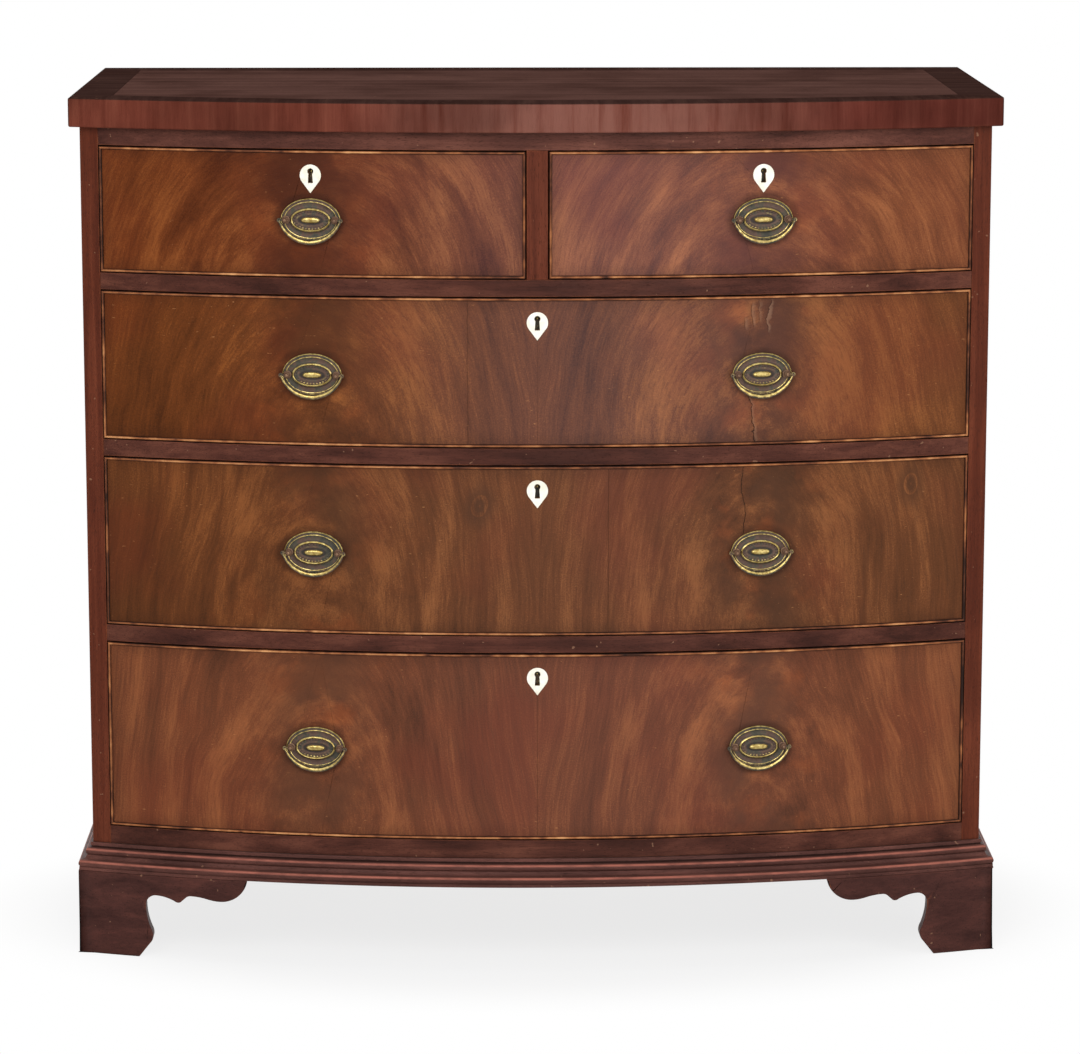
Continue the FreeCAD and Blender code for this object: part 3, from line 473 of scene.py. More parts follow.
@dataclass(frozen=True)
class FlameVeneer:
    """Flame mahogany on one drawer front. Its grain arches over each handle.

    The figure is drawn in distances from a flame's root, which lies on the handle's axis: reach
    is how far an arch lies from it, and stops give how light the wood is at each reach.
    contrast is that of its bands, painted_left_tint makes its left end deeper and yellower as
    painted shade where the sheen is missing, shade darkens it under a handle, slant makes it
    lighter to the right, and painted_sheen is a pale painted sheen over its middle.
    """

    name: str
    low: Vector
    high: Vector
    axes: tuple[float, ...]
    handle_z: float
    root: float
    lean: float
    stops: tuple[tuple[float, float], ...]
    dark: Colour
    mid: Colour
    light: Colour
    core: Colour
    red: Colour = srgb(104, 48, 34)
    contrast: float = 1.15
    painted_left_tint: float = 0.9
    shade: float = 0.2
    slant: float = 0.0
    painted_sheen: float = 0.8
    cracks: tuple[Crack, ...] = ()
    knots: tuple[tuple[float, float], ...] = ()
    knot_size: float = 0.013
    knot_slope: float = 0.35
    seed: float = 0.0

    def material(self) -> bpy.types.Material:
        """Build the material."""
        graph = Graph(self.name)
        spot = self._spot(graph)
        fibres = spot.streaks(7.0, 300.0, 3.0, rough=0.6)
        flecks = spot.streaks(18.0, 820.0, 1.0)
        pores = flecks.fade(0.55, 0.7)
        colour = self._wood(spot, fibres, flecks)
        colour = graph.mix(pores * 0.3, colour, self.core)
        # painted sheen: a pale haze is added over the middle of the front
        colour = graph.mix(abs(spot.x - 0.08).fade(0.34, 0.04) * self.painted_sheen, colour,
                           srgb(0, 24, 40), "ADD")
        # painted shade: the left end is made deeper and yellower, as it looks without the sheen
        colour = graph.mix((spot.x * -1.0).fade(0.1, 0.44) * self.painted_left_tint, colour,
                           srgb(242, 220, 176), "MULTIPLY")
        colour, gap = self._cracked(spot, colour)
        colour = graph.mix(self._bead_and_handle_darkening(spot) * 0.8, colour, srgb(34, 19, 14))
        scuffs = graph.noise(graph.join(spot.x * 160.0, spot.z * 520.0, self.seed), detail=2.0)
        lone = scuffs.fade(0.7, 0.78) * spot.cloud(9.0).fade(0.46, 0.62)
        colour = graph.mix(lone * 0.5, colour, srgb(190, 132, 84))

        _, inward, _ = graph.split(graph.facing)
        behind = (inward + 0.35).fade(-0.1, 0.1)
        boards = graph.noise(graph.join(spot.x * 3.0, spot.y * 90.0, spot.z * 90.0), detail=4.0)
        bare = graph.ramp(boards, (0.3, srgb(96, 62, 36)), (0.7, srgb(146, 104, 64)))
        colour = graph.mix(behind, colour, bare)

        roughness = 0.36 + (spot.cloud(17.0, 4.0) - 0.5) * 0.2 + pores * 0.1 + behind * 0.35
        height = fibres * 0.3 - pores * 0.6 - gap * 2.0 + spot.drift * 3.0
        return graph.surface(colour, roughness, height, 0.00012, specular_ior_level=0.06)

    def _spot(self, graph: Graph) -> Spot:
        """Lay the figure out."""
        x, y, z = graph.split(graph.place)
        seeded = graph.join(x + self.seed, z, self.seed)
        drift = graph.noise(seeded, scale=4.5, detail=2.0) - 0.5
        sway = graph.noise(seeded, scale=13.0, detail=1.0) - 0.5
        off_axis = abs(x) - abs(self.axes[0]) if len(self.axes) > 1 else x - self.axes[0]
        aside = off_axis + drift * 0.045 + sway * 0.004
        up = (z - self.root) * self.lean + drift * 0.03
        return Spot(graph, x, y, z, seeded, drift, sway, aside,
                    reach=(aside.squared() + up.squared()).root(),
                    turn=graph.math("ARCTAN2", up, aside),
                    shift=off_axis * 1.2 + x * 0.4 + self.seed,
                    clear=abs(aside).fade(0.02, 0.095) * 0.88 + 0.12)

    def _tone(self, spot: Spot, fibres: Amount) -> Amount:
        """How light the wood is, 0 to 1."""
        graph, x, z, clear = spot.graph, spot.x, spot.z, spot.clear
        arches = graph.profile(spot.reach, 0.30, *self.stops)
        bands = spot.streaks(2.0, 38.0, 4.0, twist=0.4)
        calm = spot.reach.fade(0.27, 0.13) * 0.45 + 0.55
        mottle = spot.cloud(31.0, 3.0)
        patches = graph.noise(graph.join(x * 5.0, z * 3.0, self.seed * 2.0), detail=3.0)
        grit = graph.noise(graph.join(x * 640.0, z * 640.0, self.seed), detail=1.0)
        tone = 0.5 + (arches - 0.5) * clear + (bands - 0.5) * clear * calm * self.contrast
        tone = tone + (mottle - 0.5) * (1.0 - clear) * 1.6 + x * self.slant
        return tone + (patches - 0.5) * 0.8 + (fibres - 0.5) * 0.55 + (grit - 0.5) * 0.45

    def _wood(self, spot: Spot, fibres: Amount, flecks: Amount) -> Socket:
        """Colour of the clean wood, with its dark hearts and knots.

        Args:
            spot: Where it is read.
            fibres: Fine lines of the grain.
            flecks: Finer lines, for its lights and pores.

        Returns:
            The colour.
        """
        graph = spot.graph
        tone = self._tone(spot, fibres)
        colour = graph.ramp(tone, (0.1, self.dark), (0.5, self.mid), (0.9, self.light))
        colour = graph.mix(spot.cloud(6.0).fade(0.47, 0.68) * 0.35, colour, self.red)
        ember = spot.cloud(19.0, 4.0).fade(0.52, 0.66)
        colour = graph.mix(ember * (1.1 - spot.clear) * 0.4, colour, srgb(146, 76, 40))
        colour = graph.mix(flecks.fade(0.4, 0.26) * tone.fade(0.45, 0.7) * 0.2, colour,
                           srgb(172, 108, 64))
        cloud = spot.cloud(11.0, 4.0)
        heart = abs(spot.aside).fade(0.085, 0.015) * cloud.fade(0.4, 0.58)
        under = (self.handle_z - spot.z).fade(0.0, 0.045) * abs(spot.aside).fade(0.07, 0.02)
        heart = heart.most(under * cloud.fade(0.2, 0.5) * self.shade)
        colour = graph.mix(heart * 0.8, colour, self.core)
        for x, z in self.knots:
            wide = spot.x + spot.sway * 0.02 - x
            tall = (spot.z - z) * (1.0 - self.knot_slope)
            ring = (wide.squared() + tall.squared()).root() / self.knot_size
            rings = graph.noise(graph.join(ring * 2.2, self.seed, fibres), detail=2.0)
            colour = graph.mix(ring.fade(1.8, 0.3) * rings.fade(0.38, 0.56) * 0.8, colour,
                               self.core)
        return colour

    def _cracked(self, spot: Spot, colour: Socket) -> tuple[Socket, Amount]:
        """Draw the cracks.

        Args:
            spot: Where they are read.
            colour: Colour of the wood.

        Returns:
            The colour with the cracks in it, and where they are.
        """
        graph = spot.graph
        rise = (spot.z - self.low.z) / (self.high.z - self.low.z)
        shake = graph.noise(spot.seeded, scale=26.0, detail=4.0, rough=0.6) - 0.5
        gap = rise * 0.0
        for crack in self.cracks:
            beside = spot.x - crack.x + shake * crack.wander * 2.0
            off = abs(beside)
            inside = rise.fade(crack.foot - 0.02, crack.foot + 0.02)
            inside = inside * rise.fade(crack.top + 0.02, crack.top - 0.02)
            gap = gap.most(off.fade(crack.width, crack.width * 0.3) * inside * crack.depth)
            shadow = off.fade(crack.width * 9.0, 0.0) * inside
            colour = graph.mix(shadow * crack.depth * 0.3, colour, self.core)
            if crack.lifted_highlight:
                # painted highlight on the lifted veneer to the right of the crack
                shine = beside.fade(0.0, 0.001) * beside.fade(0.005, 0.001) * inside
                colour = graph.mix(shine * crack.lifted_highlight, colour, srgb(190, 150, 122))
        return graph.mix(gap, colour, srgb(22, 13, 10)), gap

    def _bead_and_handle_darkening(self, spot: Spot) -> Amount:
        """Darker along the beads and round each handle, 0 to 1."""
        graph = spot.graph
        centre, half = (self.high + self.low) / 2, (self.high - self.low) / 2
        to_side = half.x - abs(spot.x - centre.x)
        to_end = half.z - abs(spot.z - centre.z)
        cloud = graph.noise(graph.join(spot.x, spot.z, self.seed), scale=24.0, detail=4.0)
        margin = to_side.least(to_end) + (cloud - 0.5) * 0.01
        darkening = (margin.fade(0.005, 0.002) * 0.5).most(margin.fade(0.022, 0.002) * 0.26)
        for axis in self.axes:
            wide = (spot.x - axis) / 0.0385
            tall = (spot.z - self.handle_z) / 0.029
            ring = (wide.squared() + tall.squared()).root() + (cloud - 0.5) * 0.35
            darkening = darkening.most(ring.fade(1.15, 0.92) * 0.5)
        return darkening


@dataclass(frozen=True)
class CrossbandedTop:
    """Veneered top: a straight field, a mitred band round it and upright grain on the edges."""

    name: str
    low: Vector
    high: Vector
    front_radius: float
    band: float = 0.048

    def material(self) -> bpy.types.Material:
        """Build the material."""
        graph = Graph(self.name)
        x, y, z = graph.split(graph.place)
        centre_y = self.low.y + self.front_radius
        to_front = self.front_radius - (x.squared() + (y - centre_y).squared()).root()
        to_side = (self.high.x - self.low.x) / 2 - abs(x)
        to_ends = to_front.least(self.high.y - y)
        down = self.high.z - z
        inset = to_ends.least(to_side) + down
        banded = inset.fade(self.band + 0.0002, self.band - 0.0002)
        side_band = (to_ends - to_side).over(0.0)

        sway = graph.noise(graph.place, scale=30.0, detail=2.0) - 0.5
        field_colour, lines, pores = self._field(graph, x, y + sway * 0.006, z * 0.1)
        run = x + (y - x) * side_band
        band_colour, holes = self._band(graph, (inset + sway * 0.004, run, side_band), x, down)
        colour = graph.mix(banded, field_colour, band_colour)

        joint = abs(inset - self.band).fade(0.0006, 0.0001)
        joint = joint.most(abs(to_ends - to_side).fade(0.0007, 0.0001) * banded)
        colour = graph.mix(joint * 0.7, colour, srgb(18, 10, 8))
        pits = (pores * (1.0 - banded)).most(holes * 0.3)
        colour = graph.mix(pits * 0.4, colour, srgb(24, 12, 9))
        cloud = graph.noise(graph.place, scale=7.0, detail=4.0)
        colour = graph.mix(cloud.fade(0.6, 0.34) * 0.4, colour, srgb(36, 19, 14))
        rubbed = graph.edges(0.003) * graph.noise(graph.place, 34.0, 4.0).fade(0.4, 0.64)
        colour = graph.mix(rubbed * 0.75, colour, srgb(150, 92, 62))
        dents = graph.noise(graph.join(x * 90.0, y * 260.0, z), detail=1.0).fade(0.76, 0.8)
        colour = graph.mix(dents * 0.4, colour, srgb(150, 110, 84))

        roughness = 0.6 + (cloud - 0.5) * 0.2 + pores * 0.1
        height = lines * 0.3 - pores.most(holes) - joint * 1.5
        return graph.surface(colour, roughness, height, 0.0001, specular_ior_level=0.0)

    def _field(self, graph: Graph, along: Amount, side: Amount,
               through: Amount) -> tuple[Socket, Amount, Amount]:
        """Straight-grained middle of the top.

        Args:
            graph: Graph that it goes in.
            along: Metres along the grain.
            side: Metres across the grain.
            through: Metres across it the other way.

        Returns:
            Its colour, fine lines and pores.
        """
        grain = Grain(0.02, 0.6, 0.0022, 0.1, 0.0007, 0.008)
        streaks, lines, pores = grain.layers(graph, along, side, through)
        tone = 0.5 + (streaks - 0.5) * 1.1 + (lines - 0.5) * 0.35
        colour = graph.ramp(tone, (0.1, srgb(58, 38, 34)), (0.5, srgb(80, 55, 49)),
                            (0.9, srgb(98, 70, 62)))
        return colour, lines, pores

    def _band(self, graph: Graph, grain_place: tuple[Amount, Amount, Amount], x: Amount,
              down: Amount) -> tuple[Socket, Amount]:
        """Crossbanding on top and the upright grain of the edges.

        Args:
            graph: Graph that it goes in.
            grain_place: Metres along the grain and across it, and 1 on a side band or 0 on
                the front and back bands, so that they differ where they meet.
            x: Metres to the right.
            down: Metres below the top.

        Returns:
            Its colour and pores.
        """
        grain = Grain(0.017, 0.2, 0.0024, 0.07, 0.0007, 0.012)
        bands, fibres, holes = grain.layers(graph, *grain_place)
        tone = 0.5 + (bands - 0.5) * 1.1 + (fibres - 0.5) * 0.3
        above = graph.ramp(tone, (0.1, srgb(36, 22, 19)), (0.5, srgb(54, 36, 32)),
                           (0.9, srgb(74, 52, 45)))
        upright = graph.ramp(tone, (0.1, srgb(80, 36, 27)), (0.5, srgb(106, 54, 42)),
                             (0.9, srgb(128, 72, 56)))
        # painted sheen: the middle of the front edge is paler
        painted_edge_sheen = abs(x - 0.06).fade(0.34, 0.04) * bands.fade(0.2, 0.6)
        upright = graph.mix(painted_edge_sheen * 0.55, upright, srgb(134, 94, 84))
        upright = graph.mix(x.fade(0.22, 0.4) * 0.8, upright, srgb(218, 208, 222), "MULTIPLY")
        return graph.mix(down.fade(0.0006, 0.0018), above, upright), holes


@dataclass(frozen=True)
class RubbedBead:
    """Mahogany bead, rubbed pale on its nose and dark with wax where it was never touched, with
    painted shade in its crevices.
    """

    name: str

    def material(self) -> bpy.types.Material:
        """Build the material."""
        graph = Graph(self.name)
        x, y, z = graph.split(graph.place)
        wear_and_light = graph.attribute("wear_and_light")
        runs = graph.noise(graph.join(x * 9.0, y * 9.0, z * 9.0), detail=4.0, rough=0.65)
        fine = graph.noise(graph.join(x * 60.0, y * 60.0, z * 60.0), detail=4.0)
        wear = wear_and_light * 0.9 + (runs - 0.5) * 1.5 + (fine - 0.5) * 0.9
        colour = graph.ramp(wear, (0.12, srgb(36, 20, 14)), (0.42, srgb(96, 54, 34)),
                            (0.66, srgb(152, 95, 57)), (1.0, srgb(212, 156, 104)))
        # painted shade: darker in the crevices round the bead
        colour = graph.mix(graph.crevices(0.003).fade(0.4, 0.9) * 0.6, colour, srgb(26, 15, 11))
        return graph.surface(colour, 0.5 - wear_and_light * 0.1, fine, 0.00015, specular_ior_level=0.1)


@dataclass(frozen=True)
class OldBrass:
    """Pressed brass: green and brown in the hollows, with painted shade in the deepest of them,
    and rubbed to yellow on what stands out.
    """

    name: str
    green: tuple[Colour, ...] = (srgb(50, 48, 39), srgb(70, 64, 50))
    brown: tuple[Colour, ...] = (srgb(88, 64, 52), srgb(60, 43, 34))
    metal: tuple[Colour, ...] = (srgb(150, 126, 70), srgb(204, 184, 120))

    def material(self) -> bpy.types.Material:
        """Build the material."""
        graph = Graph(self.name)
        wear_and_light = graph.attribute("wear_and_light")
        spots = graph.noise(graph.place, scale=240.0, detail=4.0, rough=0.65)
        cloud = graph.noise(graph.place, scale=55.0, detail=3.0)
        bright = (wear_and_light + (spots - 0.5) * 0.7 + (cloud - 0.5) * 0.35).fade(0.34, 0.74)
        metal = graph.mix(spots.fade(0.35, 0.7), *self.metal)
        crust = graph.ramp(cloud + (spots - 0.5) * 0.8, (0.3, self.green[0]),
                           (0.44, self.green[1]), (0.52, self.brown[0]), (0.76, self.brown[1]))
        # painted shade: the deepest hollows and the low parts beside raised ones go near black
        # over the patina
        hollow = graph.crevices(0.004).fade(0.25, 0.85).most(wear_and_light.fade(0.15, 0.03))
        crust = graph.mix(hollow * 0.85, crust, srgb(26, 21, 16))
        colour = graph.mix(bright, crust, metal)
        roughness = 0.6 - bright * 0.3 + (spots - 0.5) * 0.12
        return graph.surface(colour, roughness, spots + cloud, 0.00005,
                             metallic=0.35 + bright * 0.65)


@dataclass(frozen=True)
class PolishedBone:
    """Bone that has yellowed a little, with fine dark flecks and dirt at its edge."""

    name: str

    def material(self) -> bpy.types.Material:
        """Build the material."""
        graph = Graph(self.name)
        x, y, z = graph.split(graph.place)
        flecks = graph.noise(graph.join(x * 1500.0, y * 300.0, z * 170.0), detail=2.0)
        cloud = graph.noise(graph.place, scale=90.0, detail=3.0)
        colour = graph.ramp(cloud, (0.35, srgb(236, 230, 210)), (0.65, srgb(250, 247, 236)))
        colour = graph.mix(flecks.fade(0.62, 0.76) * 0.35, colour, srgb(176, 150, 112))
        colour = graph.mix(graph.edges(0.0012) * 0.4, colour, srgb(186, 166, 126))
        return graph.surface(colour, 0.38 + (cloud - 0.5) * 0.2, flecks, 0.00003,
                             specular_ior_level=0.45)


@dataclass(frozen=True)
class BlackedIron:
    """Iron of the lock bolts, dark with a little rust."""

    name: str

    def material(self) -> bpy.types.Material:
        """Build the material."""
        graph = Graph(self.name)
        grainy = graph.noise(graph.place, scale=420.0, detail=4.0)
        rust = graph.noise(graph.place, scale=120.0, detail=4.0).fade(0.52, 0.66)
        colour = graph.mix(rust * 0.7, srgb(92, 90, 88), srgb(96, 58, 36))
        colour = graph.mix(graph.edges(0.0008) * 0.6, colour, srgb(170, 168, 164))
        return graph.surface(colour, 0.5 + rust * 0.3, grainy, 0.00008,
                             metallic=1.0 - rust * 0.7)


# ---------------------------------------------------------------- making pieces

class Shell:
    """A mesh in the making. Each point also holds how rubbed it is, from 0 to 1, which on some
    pieces also carries painted highlight and painted shade.
    """

    def __init__(self) -> None:
        """Start an empty mesh."""
        self.mesh = bmesh.new()
        self.wear_and_light = self.mesh.verts.layers.float.new("wear_and_light")

    def point(self, place: Vector, wear_and_light: float) -> bmesh.types.BMVert:
        """Add a point."""
        made = self.mesh.verts.new(place)
        made[self.wear_and_light] = wear_and_light
        return made

    def skin(self, rows: Sequence[Sequence[Vector]], wear_and_light_rows: Sequence[WearAndLight],
             smooth: bool = True) -> None:
        """Join rows of points, each a closed ring, and close both ends.

        Args:
            rows: Rings with equally many points.
            wear_and_light_rows: How rubbed each ring is, or each point of it, with any painted
                light.
            smooth: Whether the faces are shaded round.
        """
        rings = []
        for row, wear_and_light in zip(rows, wear_and_light_rows):
            each = wear_and_light if isinstance(wear_and_light, list) else [wear_and_light] * len(row)
            rings.append([self.point(place, worn) for place, worn in zip(row, each)])
        count = len(rings[0])
        faces = [self.mesh.faces.new((first[number], first[(number + 1) % count],
                                      second[(number + 1) % count], second[number]))
                 for first, second in zip(rings, rings[1:]) for number in range(count)]
        faces += [self.mesh.faces.new(rings[0][::-1]), self.mesh.faces.new(rings[-1])]
        for face in faces:
            face.smooth = smooth

    def turn(self, profile: Sequence[tuple[float, float, float]], sides: int = 24,
             at: Vector = Vector(), smooth: bool = True) -> None:
        """Turn a profile about an axis along Y.

        Args:
            profile: A radius, a Y and how rubbed it is there, from one end to the other.
            sides: Points in each ring.
            at: Place of the axis.
            smooth: Whether the faces are shaded round.
        """
        angles = [math.tau * number / sides for number in range(sides)]
        rows = [[at + Vector((radius * math.cos(angle), y, radius * math.sin(angle)))
                 for angle in angles] for radius, y, _ in profile]
        self.skin(rows, [wear_and_light for _, _, wear_and_light in profile], smooth)

    def piece(self, name: str, material: bpy.types.Material, body: str,
              node: str, place: Matrix = Matrix.Identity(4)) -> bpy.types.Object:
        """Finish the mesh as a piece of the chest.

        Args:
            name: Name of the piece.
            material: Its finish.
            body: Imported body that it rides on.
            node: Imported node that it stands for.
            place: Where the mesh goes.

        Returns:
            The piece.
        """
        bmesh.ops.recalc_face_normals(self.mesh, faces=self.mesh.faces)
        for edge in self.mesh.edges:
            edge.smooth = edge.calc_face_angle(0.0) < math.radians(40)
        self.mesh.transform(place)
        data = bpy.data.meshes.new(name)
        self.mesh.to_mesh(data)
        self.mesh.free()
        data.materials.append(material)
        made = bpy.data.objects.new(name, data)
        bpy.context.scene.collection.objects.link(made)
        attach(made, body)
        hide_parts(node)
        LOG.info("%s: %d faces on %s", name, len(data.polygons), body)
        return made


def ease(name: str, material: bpy.types.Material, width: float, segments: int = 3) -> None:
    """Round the edges of a packed board and give it a finish.

    Args:
        name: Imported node.
        material: Its finish.
        width: Width of the rounding.
        segments: Faces across the rounding.
    """
    node = frame["nodes"][name]
    data = node.data
    data.materials.clear()
    data.materials.append(material)
    if "custom_normal" in data.attributes:
        data.attributes.remove(data.attributes["custom_normal"])
    data.shade_smooth()
    weld = node.modifiers.new("weld", "WELD")
    weld.merge_threshold = 0.002 * MM
    bevel = node.modifiers.new("eased edges", "BEVEL")
    bevel.width = width
    bevel.segments = segments
    bevel.limit_method = "ANGLE"
    bevel.angle_limit = math.radians(34)
    bevel.use_clamp_overlap = False
    bevel.miter_outer = "MITER_ARC"
    normals = node.modifiers.new("flat faces", "WEIGHTED_NORMAL")
    normals.weight = 100
    LOG.info("%s: %s, edges eased by %.1f mm", name, material.name, width / MM)


def joint_of(name: str) -> dict:
    """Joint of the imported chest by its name."""
    return next(joint for joint in frame["joints"] if joint["name"] == name)


def on_bow(x: float, z: float, proud: float = 0.0) -> Matrix:
    """Place on the bowed face, with X along it, Y into the chest and Z up.

    Args:
        x: Metres to the right.
        z: Metres up.
        proud: How far in front of the face.

    Returns:
        The place, as a matrix.
    """
    axis_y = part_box("bottom_rail")[0].y + BOW_RADIUS
    turn = math.asin(x / BOW_RADIUS)
    outward = Vector((math.sin(turn), -math.cos(turn), 0.0))
    spot = Vector((0.0, axis_y, z)) + outward * (BOW_RADIUS + proud)
    return Matrix.Translation(spot) @ Matrix.Rotation(turn, 4, "Z")


# ---------------------------------------------------------------- brassware

@dataclass
class Handle:
    """An oval pressed plate, two posts with ball heads, their nuts and a bail."""

    drawer: str
    side: str
    brass: bpy.types.Material
    studs: bpy.types.Material
    half_width: float = 34 * MM
    half_height: float = 24.5 * MM
    inner_half_width: float = 22 * MM
    inner_half_height: float = 12.6 * MM
    boss_half_width: float = 10.5 * MM
    boss_half_height: float = 3 * MM
    post_x: float = 28 * MM
    post_stand: float = 5.6 * MM
    ball_radius: float = 3.8 * MM
    collar_radius: float = 4.7 * MM
    shaft_radius: float = 2.3 * MM
    front_thickness: float = 22 * MM
    tail: float = 5 * MM
    nut_radius: float = 5.5 * MM
    nut_thickness: float = 3 * MM
    nut_clearance: float = 0.4 * MM
    bail_half_width: float = 36.2 * MM
    bail_drop: float = 27.4 * MM
    bail_middle: float = 5 * MM
    bail_end: float = 2.7 * MM
    bail_thickness: float = 3.8 * MM
    eye_radius: float = 2.4 * MM
    pin_radius: float = 1.2 * MM
    pin_reach: float = 2.5 * MM
    beads: int = 104
    petals: int = 26

    def __post_init__(self) -> None:
        """Find where the handle sits."""
        joint = joint_of(f"{self.drawer}_bail{self.side}_swing")
        right = -Vector(joint["axis"]).normalized()
        inward = Vector((-right.y, right.x, 0.0))
        spot = Vector(joint["pos_m"]) + inward * self.post_stand
        turn = Matrix((right, inward, Vector((0.0, 0.0, 1.0)))).transposed().to_4x4()
        self.place = Matrix.Translation(spot) @ turn
        self.node = f"{self.drawer}_brassware"
        self.body = f"drawer_{self.drawer}"

    def ring(self, half_width: float, half_height: float, proud: float,
             blunt: float = 1.0) -> list[Vector]:
        """Points round an oval, evenly spaced.

        Args:
            half_width: Half its width.
            half_height: Half its height.
            proud: How far it stands off the drawer.
            blunt: 1 for an ellipse and less for one with blunter ends.

        Returns:
            The points.
        """
        count = 4 * self.beads
        fine = np.linspace(0.0, math.tau, 8 * count + 1)
        x = half_width * np.sign(np.cos(fine)) * np.abs(np.cos(fine)) ** blunt
        z = half_height * np.sin(fine)
        length = np.concatenate(([0.0], np.cumsum(np.hypot(np.diff(x), np.diff(z)))))
        spots = np.arange(count) / count * length[-1]
        return [Vector((right, -proud, up)) for right, up in
                zip(np.interp(spots, length, x), np.interp(spots, length, z))]

    def stations(self) -> list[tuple[float, ...]]:
        """Rings of the plate from its back to its boss, each a step in from an outline.

        Returns:
            Of each ring, its half width, half height, how proud it stands in millimetres, the
            height and the number of its waves, and how rubbed it is.
        """
        rim = [(0.0, 0.0, 0.2), (0.0, 0.9, 0.45), (0.2, 1.5, 0.85), (0.6, 1.85, 1.0),
               (1.1, 1.75, 0.8), (1.5, 1.3, 0.15)]
        milled = [(1.8, 1.4, 0.1, 0.1), (2.3, 1.5, 0.35, 0.65), (2.9, 1.5, 0.35, 0.65),
                  (3.4, 1.35, 0.1, 0.1)]
        hollow = [(3.7, 1.45, 0.5), (4.1, 1.7, 0.8), (4.6, 1.6, 0.6), (5.0, 1.2, 0.1),
                  (6.2, 0.8, 0.16), (8.0, 0.65, 0.28), (9.8, 0.8, 0.12)]
        ridge = [(-1.3, 1.2, 0.05), (-0.6, 1.9, 0.6), (0.0, 2.5, 1.0), (0.5, 2.75, 1.0),
                 (1.0, 2.5, 0.95), (1.5, 1.8, 0.4), (1.9, 1.2, 0.0)]
        petals = [(2.2, 1.1, 0.5, 0.7), (3.3, 1.0, 0.45, 0.5), (4.1, 1.05, 0.1, 0.12)]
        field_rings = [(4.6, 1.15, 0.3), (6.2, 1.2, 0.34), (7.2, 1.0, 0.1)]
        bar = [(-1.8, 0.95, 0.0), (-0.5, 1.2, 0.1), (0.0, 2.0, 0.7), (0.6, 2.8, 1.0),
               (1.3, 3.2, 1.0), (2.2, 3.3, 1.0)]
        outer = (self.half_width, self.half_height)
        inner = (self.inner_half_width, self.inner_half_height)
        boss = (self.boss_half_width, self.boss_half_height)
        return [(wide - step * MM, tall - step * MM, proud, wave[0] if wave else 0.0, waves, wear_and_light)
                for (wide, tall), waves, rings in (
                    (outer, 0, rim), (outer, self.beads, milled), (outer, 0, hollow),
                    (inner, 0, ridge), (inner, self.petals, petals), (inner, 0, field_rings),
                    (boss, 0, bar))
                for step, proud, *wave, wear_and_light in rings]

    def plate(self) -> None:
        """Press the plate: milled rim, hollow, inner rim, petals and boss."""
        rows = []
        wear_and_light_rows = []
        for half, height, proud, wave, waves, wear_and_light in self.stations():
            crests = self.crests(waves)
            blunt = 0.6 if half < self.boss_half_width + 2 * MM else 1.0
            ring = self.ring(half, height, proud * MM, blunt)
            rows.append([spot + Vector((0.0, -wave * MM * crest, 0.0))
                         for spot, crest in zip(ring, crests)])
            # painted light: the beads and petals are made lighter on the lower half of the plate
            lower = [0.45 + 0.55 * max(0.0, -spot.z / height) for spot in ring]
            wear_and_light_rows.append([wear_and_light * (0.25 + 0.75 * crest) * low if waves else wear_and_light
                         for crest, low in zip(crests, lower)])
        shell = Shell()
        shell.skin(rows, wear_and_light_rows)
        shell.piece(f"{self.drawer}_plate{self.side}", self.brass, self.body, self.node,
                    self.place)

    def crests(self, waves: int) -> list[float]:
        """Height of each point of a ring that has so many beads or petals, 0 to 1."""
        count = 4 * self.beads
        return [abs(math.cos(math.pi * waves * number / count)) ** 1.5 if waves else 0.0
                for number in range(count)]

    def posts(self) -> None:
        """Turn two posts with a thread at the tail, and two nuts."""
        ball, collar, shaft = self.ball_radius, self.collar_radius, self.shaft_radius
        thread_end = self.front_thickness + self.tail
        turns = 10
        thread = [(shaft * (1.0 if number % 2 else 0.84),
                   thread_end - (number + 1) * self.tail / turns, 0.4)
                  for number in range(turns)]
        head = [(ball * math.cos(angle), -self.post_stand - ball * math.sin(angle), 0.36)
                for angle in np.radians(np.linspace(-44, 44, 8))]
        front = -self.post_stand - ball
        button = [(0.66, 0.26, 0.2), (0.58, 0.32, 0.0), (0.52, 0.2, 0.35), (0.45, 0.03, 0.5),
                  (0.3, -0.06, 0.45), (0.1, -0.09, 0.4)]
        profile = [(shaft * 0.5, thread_end, 0.4), *thread, (shaft, 0.0, 0.2),
                   (collar, -0.6 * MM, 0.2), (collar, -1.6 * MM, 0.42),
                   (collar * 0.95, -2.1 * MM, 0.5), (collar * 0.84, -2.3 * MM, 0.3),
                   (collar * 0.66, -2.5 * MM, 0.0), *head,
                   *((ball * wide, front + ball * deep, wear_and_light) for wide, deep, wear_and_light in button)]
        shell = Shell()
        for sign in (-1, 1):
            at = Vector((sign * self.post_x, 0.0, 0.0))
            shell.turn(profile, at=at)
            near = self.front_thickness + self.nut_clearance
            far = near + self.nut_thickness
            nut = [(shaft, near, 0.4), (self.nut_radius, near, 0.5),
                   (self.nut_radius, far - 0.7 * MM, 0.5), (self.nut_radius * 0.86, far, 0.6),
                   (shaft, far, 0.3)]
            shell.turn(nut, sides=6, at=at, smooth=False)
        shell.piece(f"{self.drawer}_posts{self.side}", self.studs, self.body, self.node,
                    self.place)

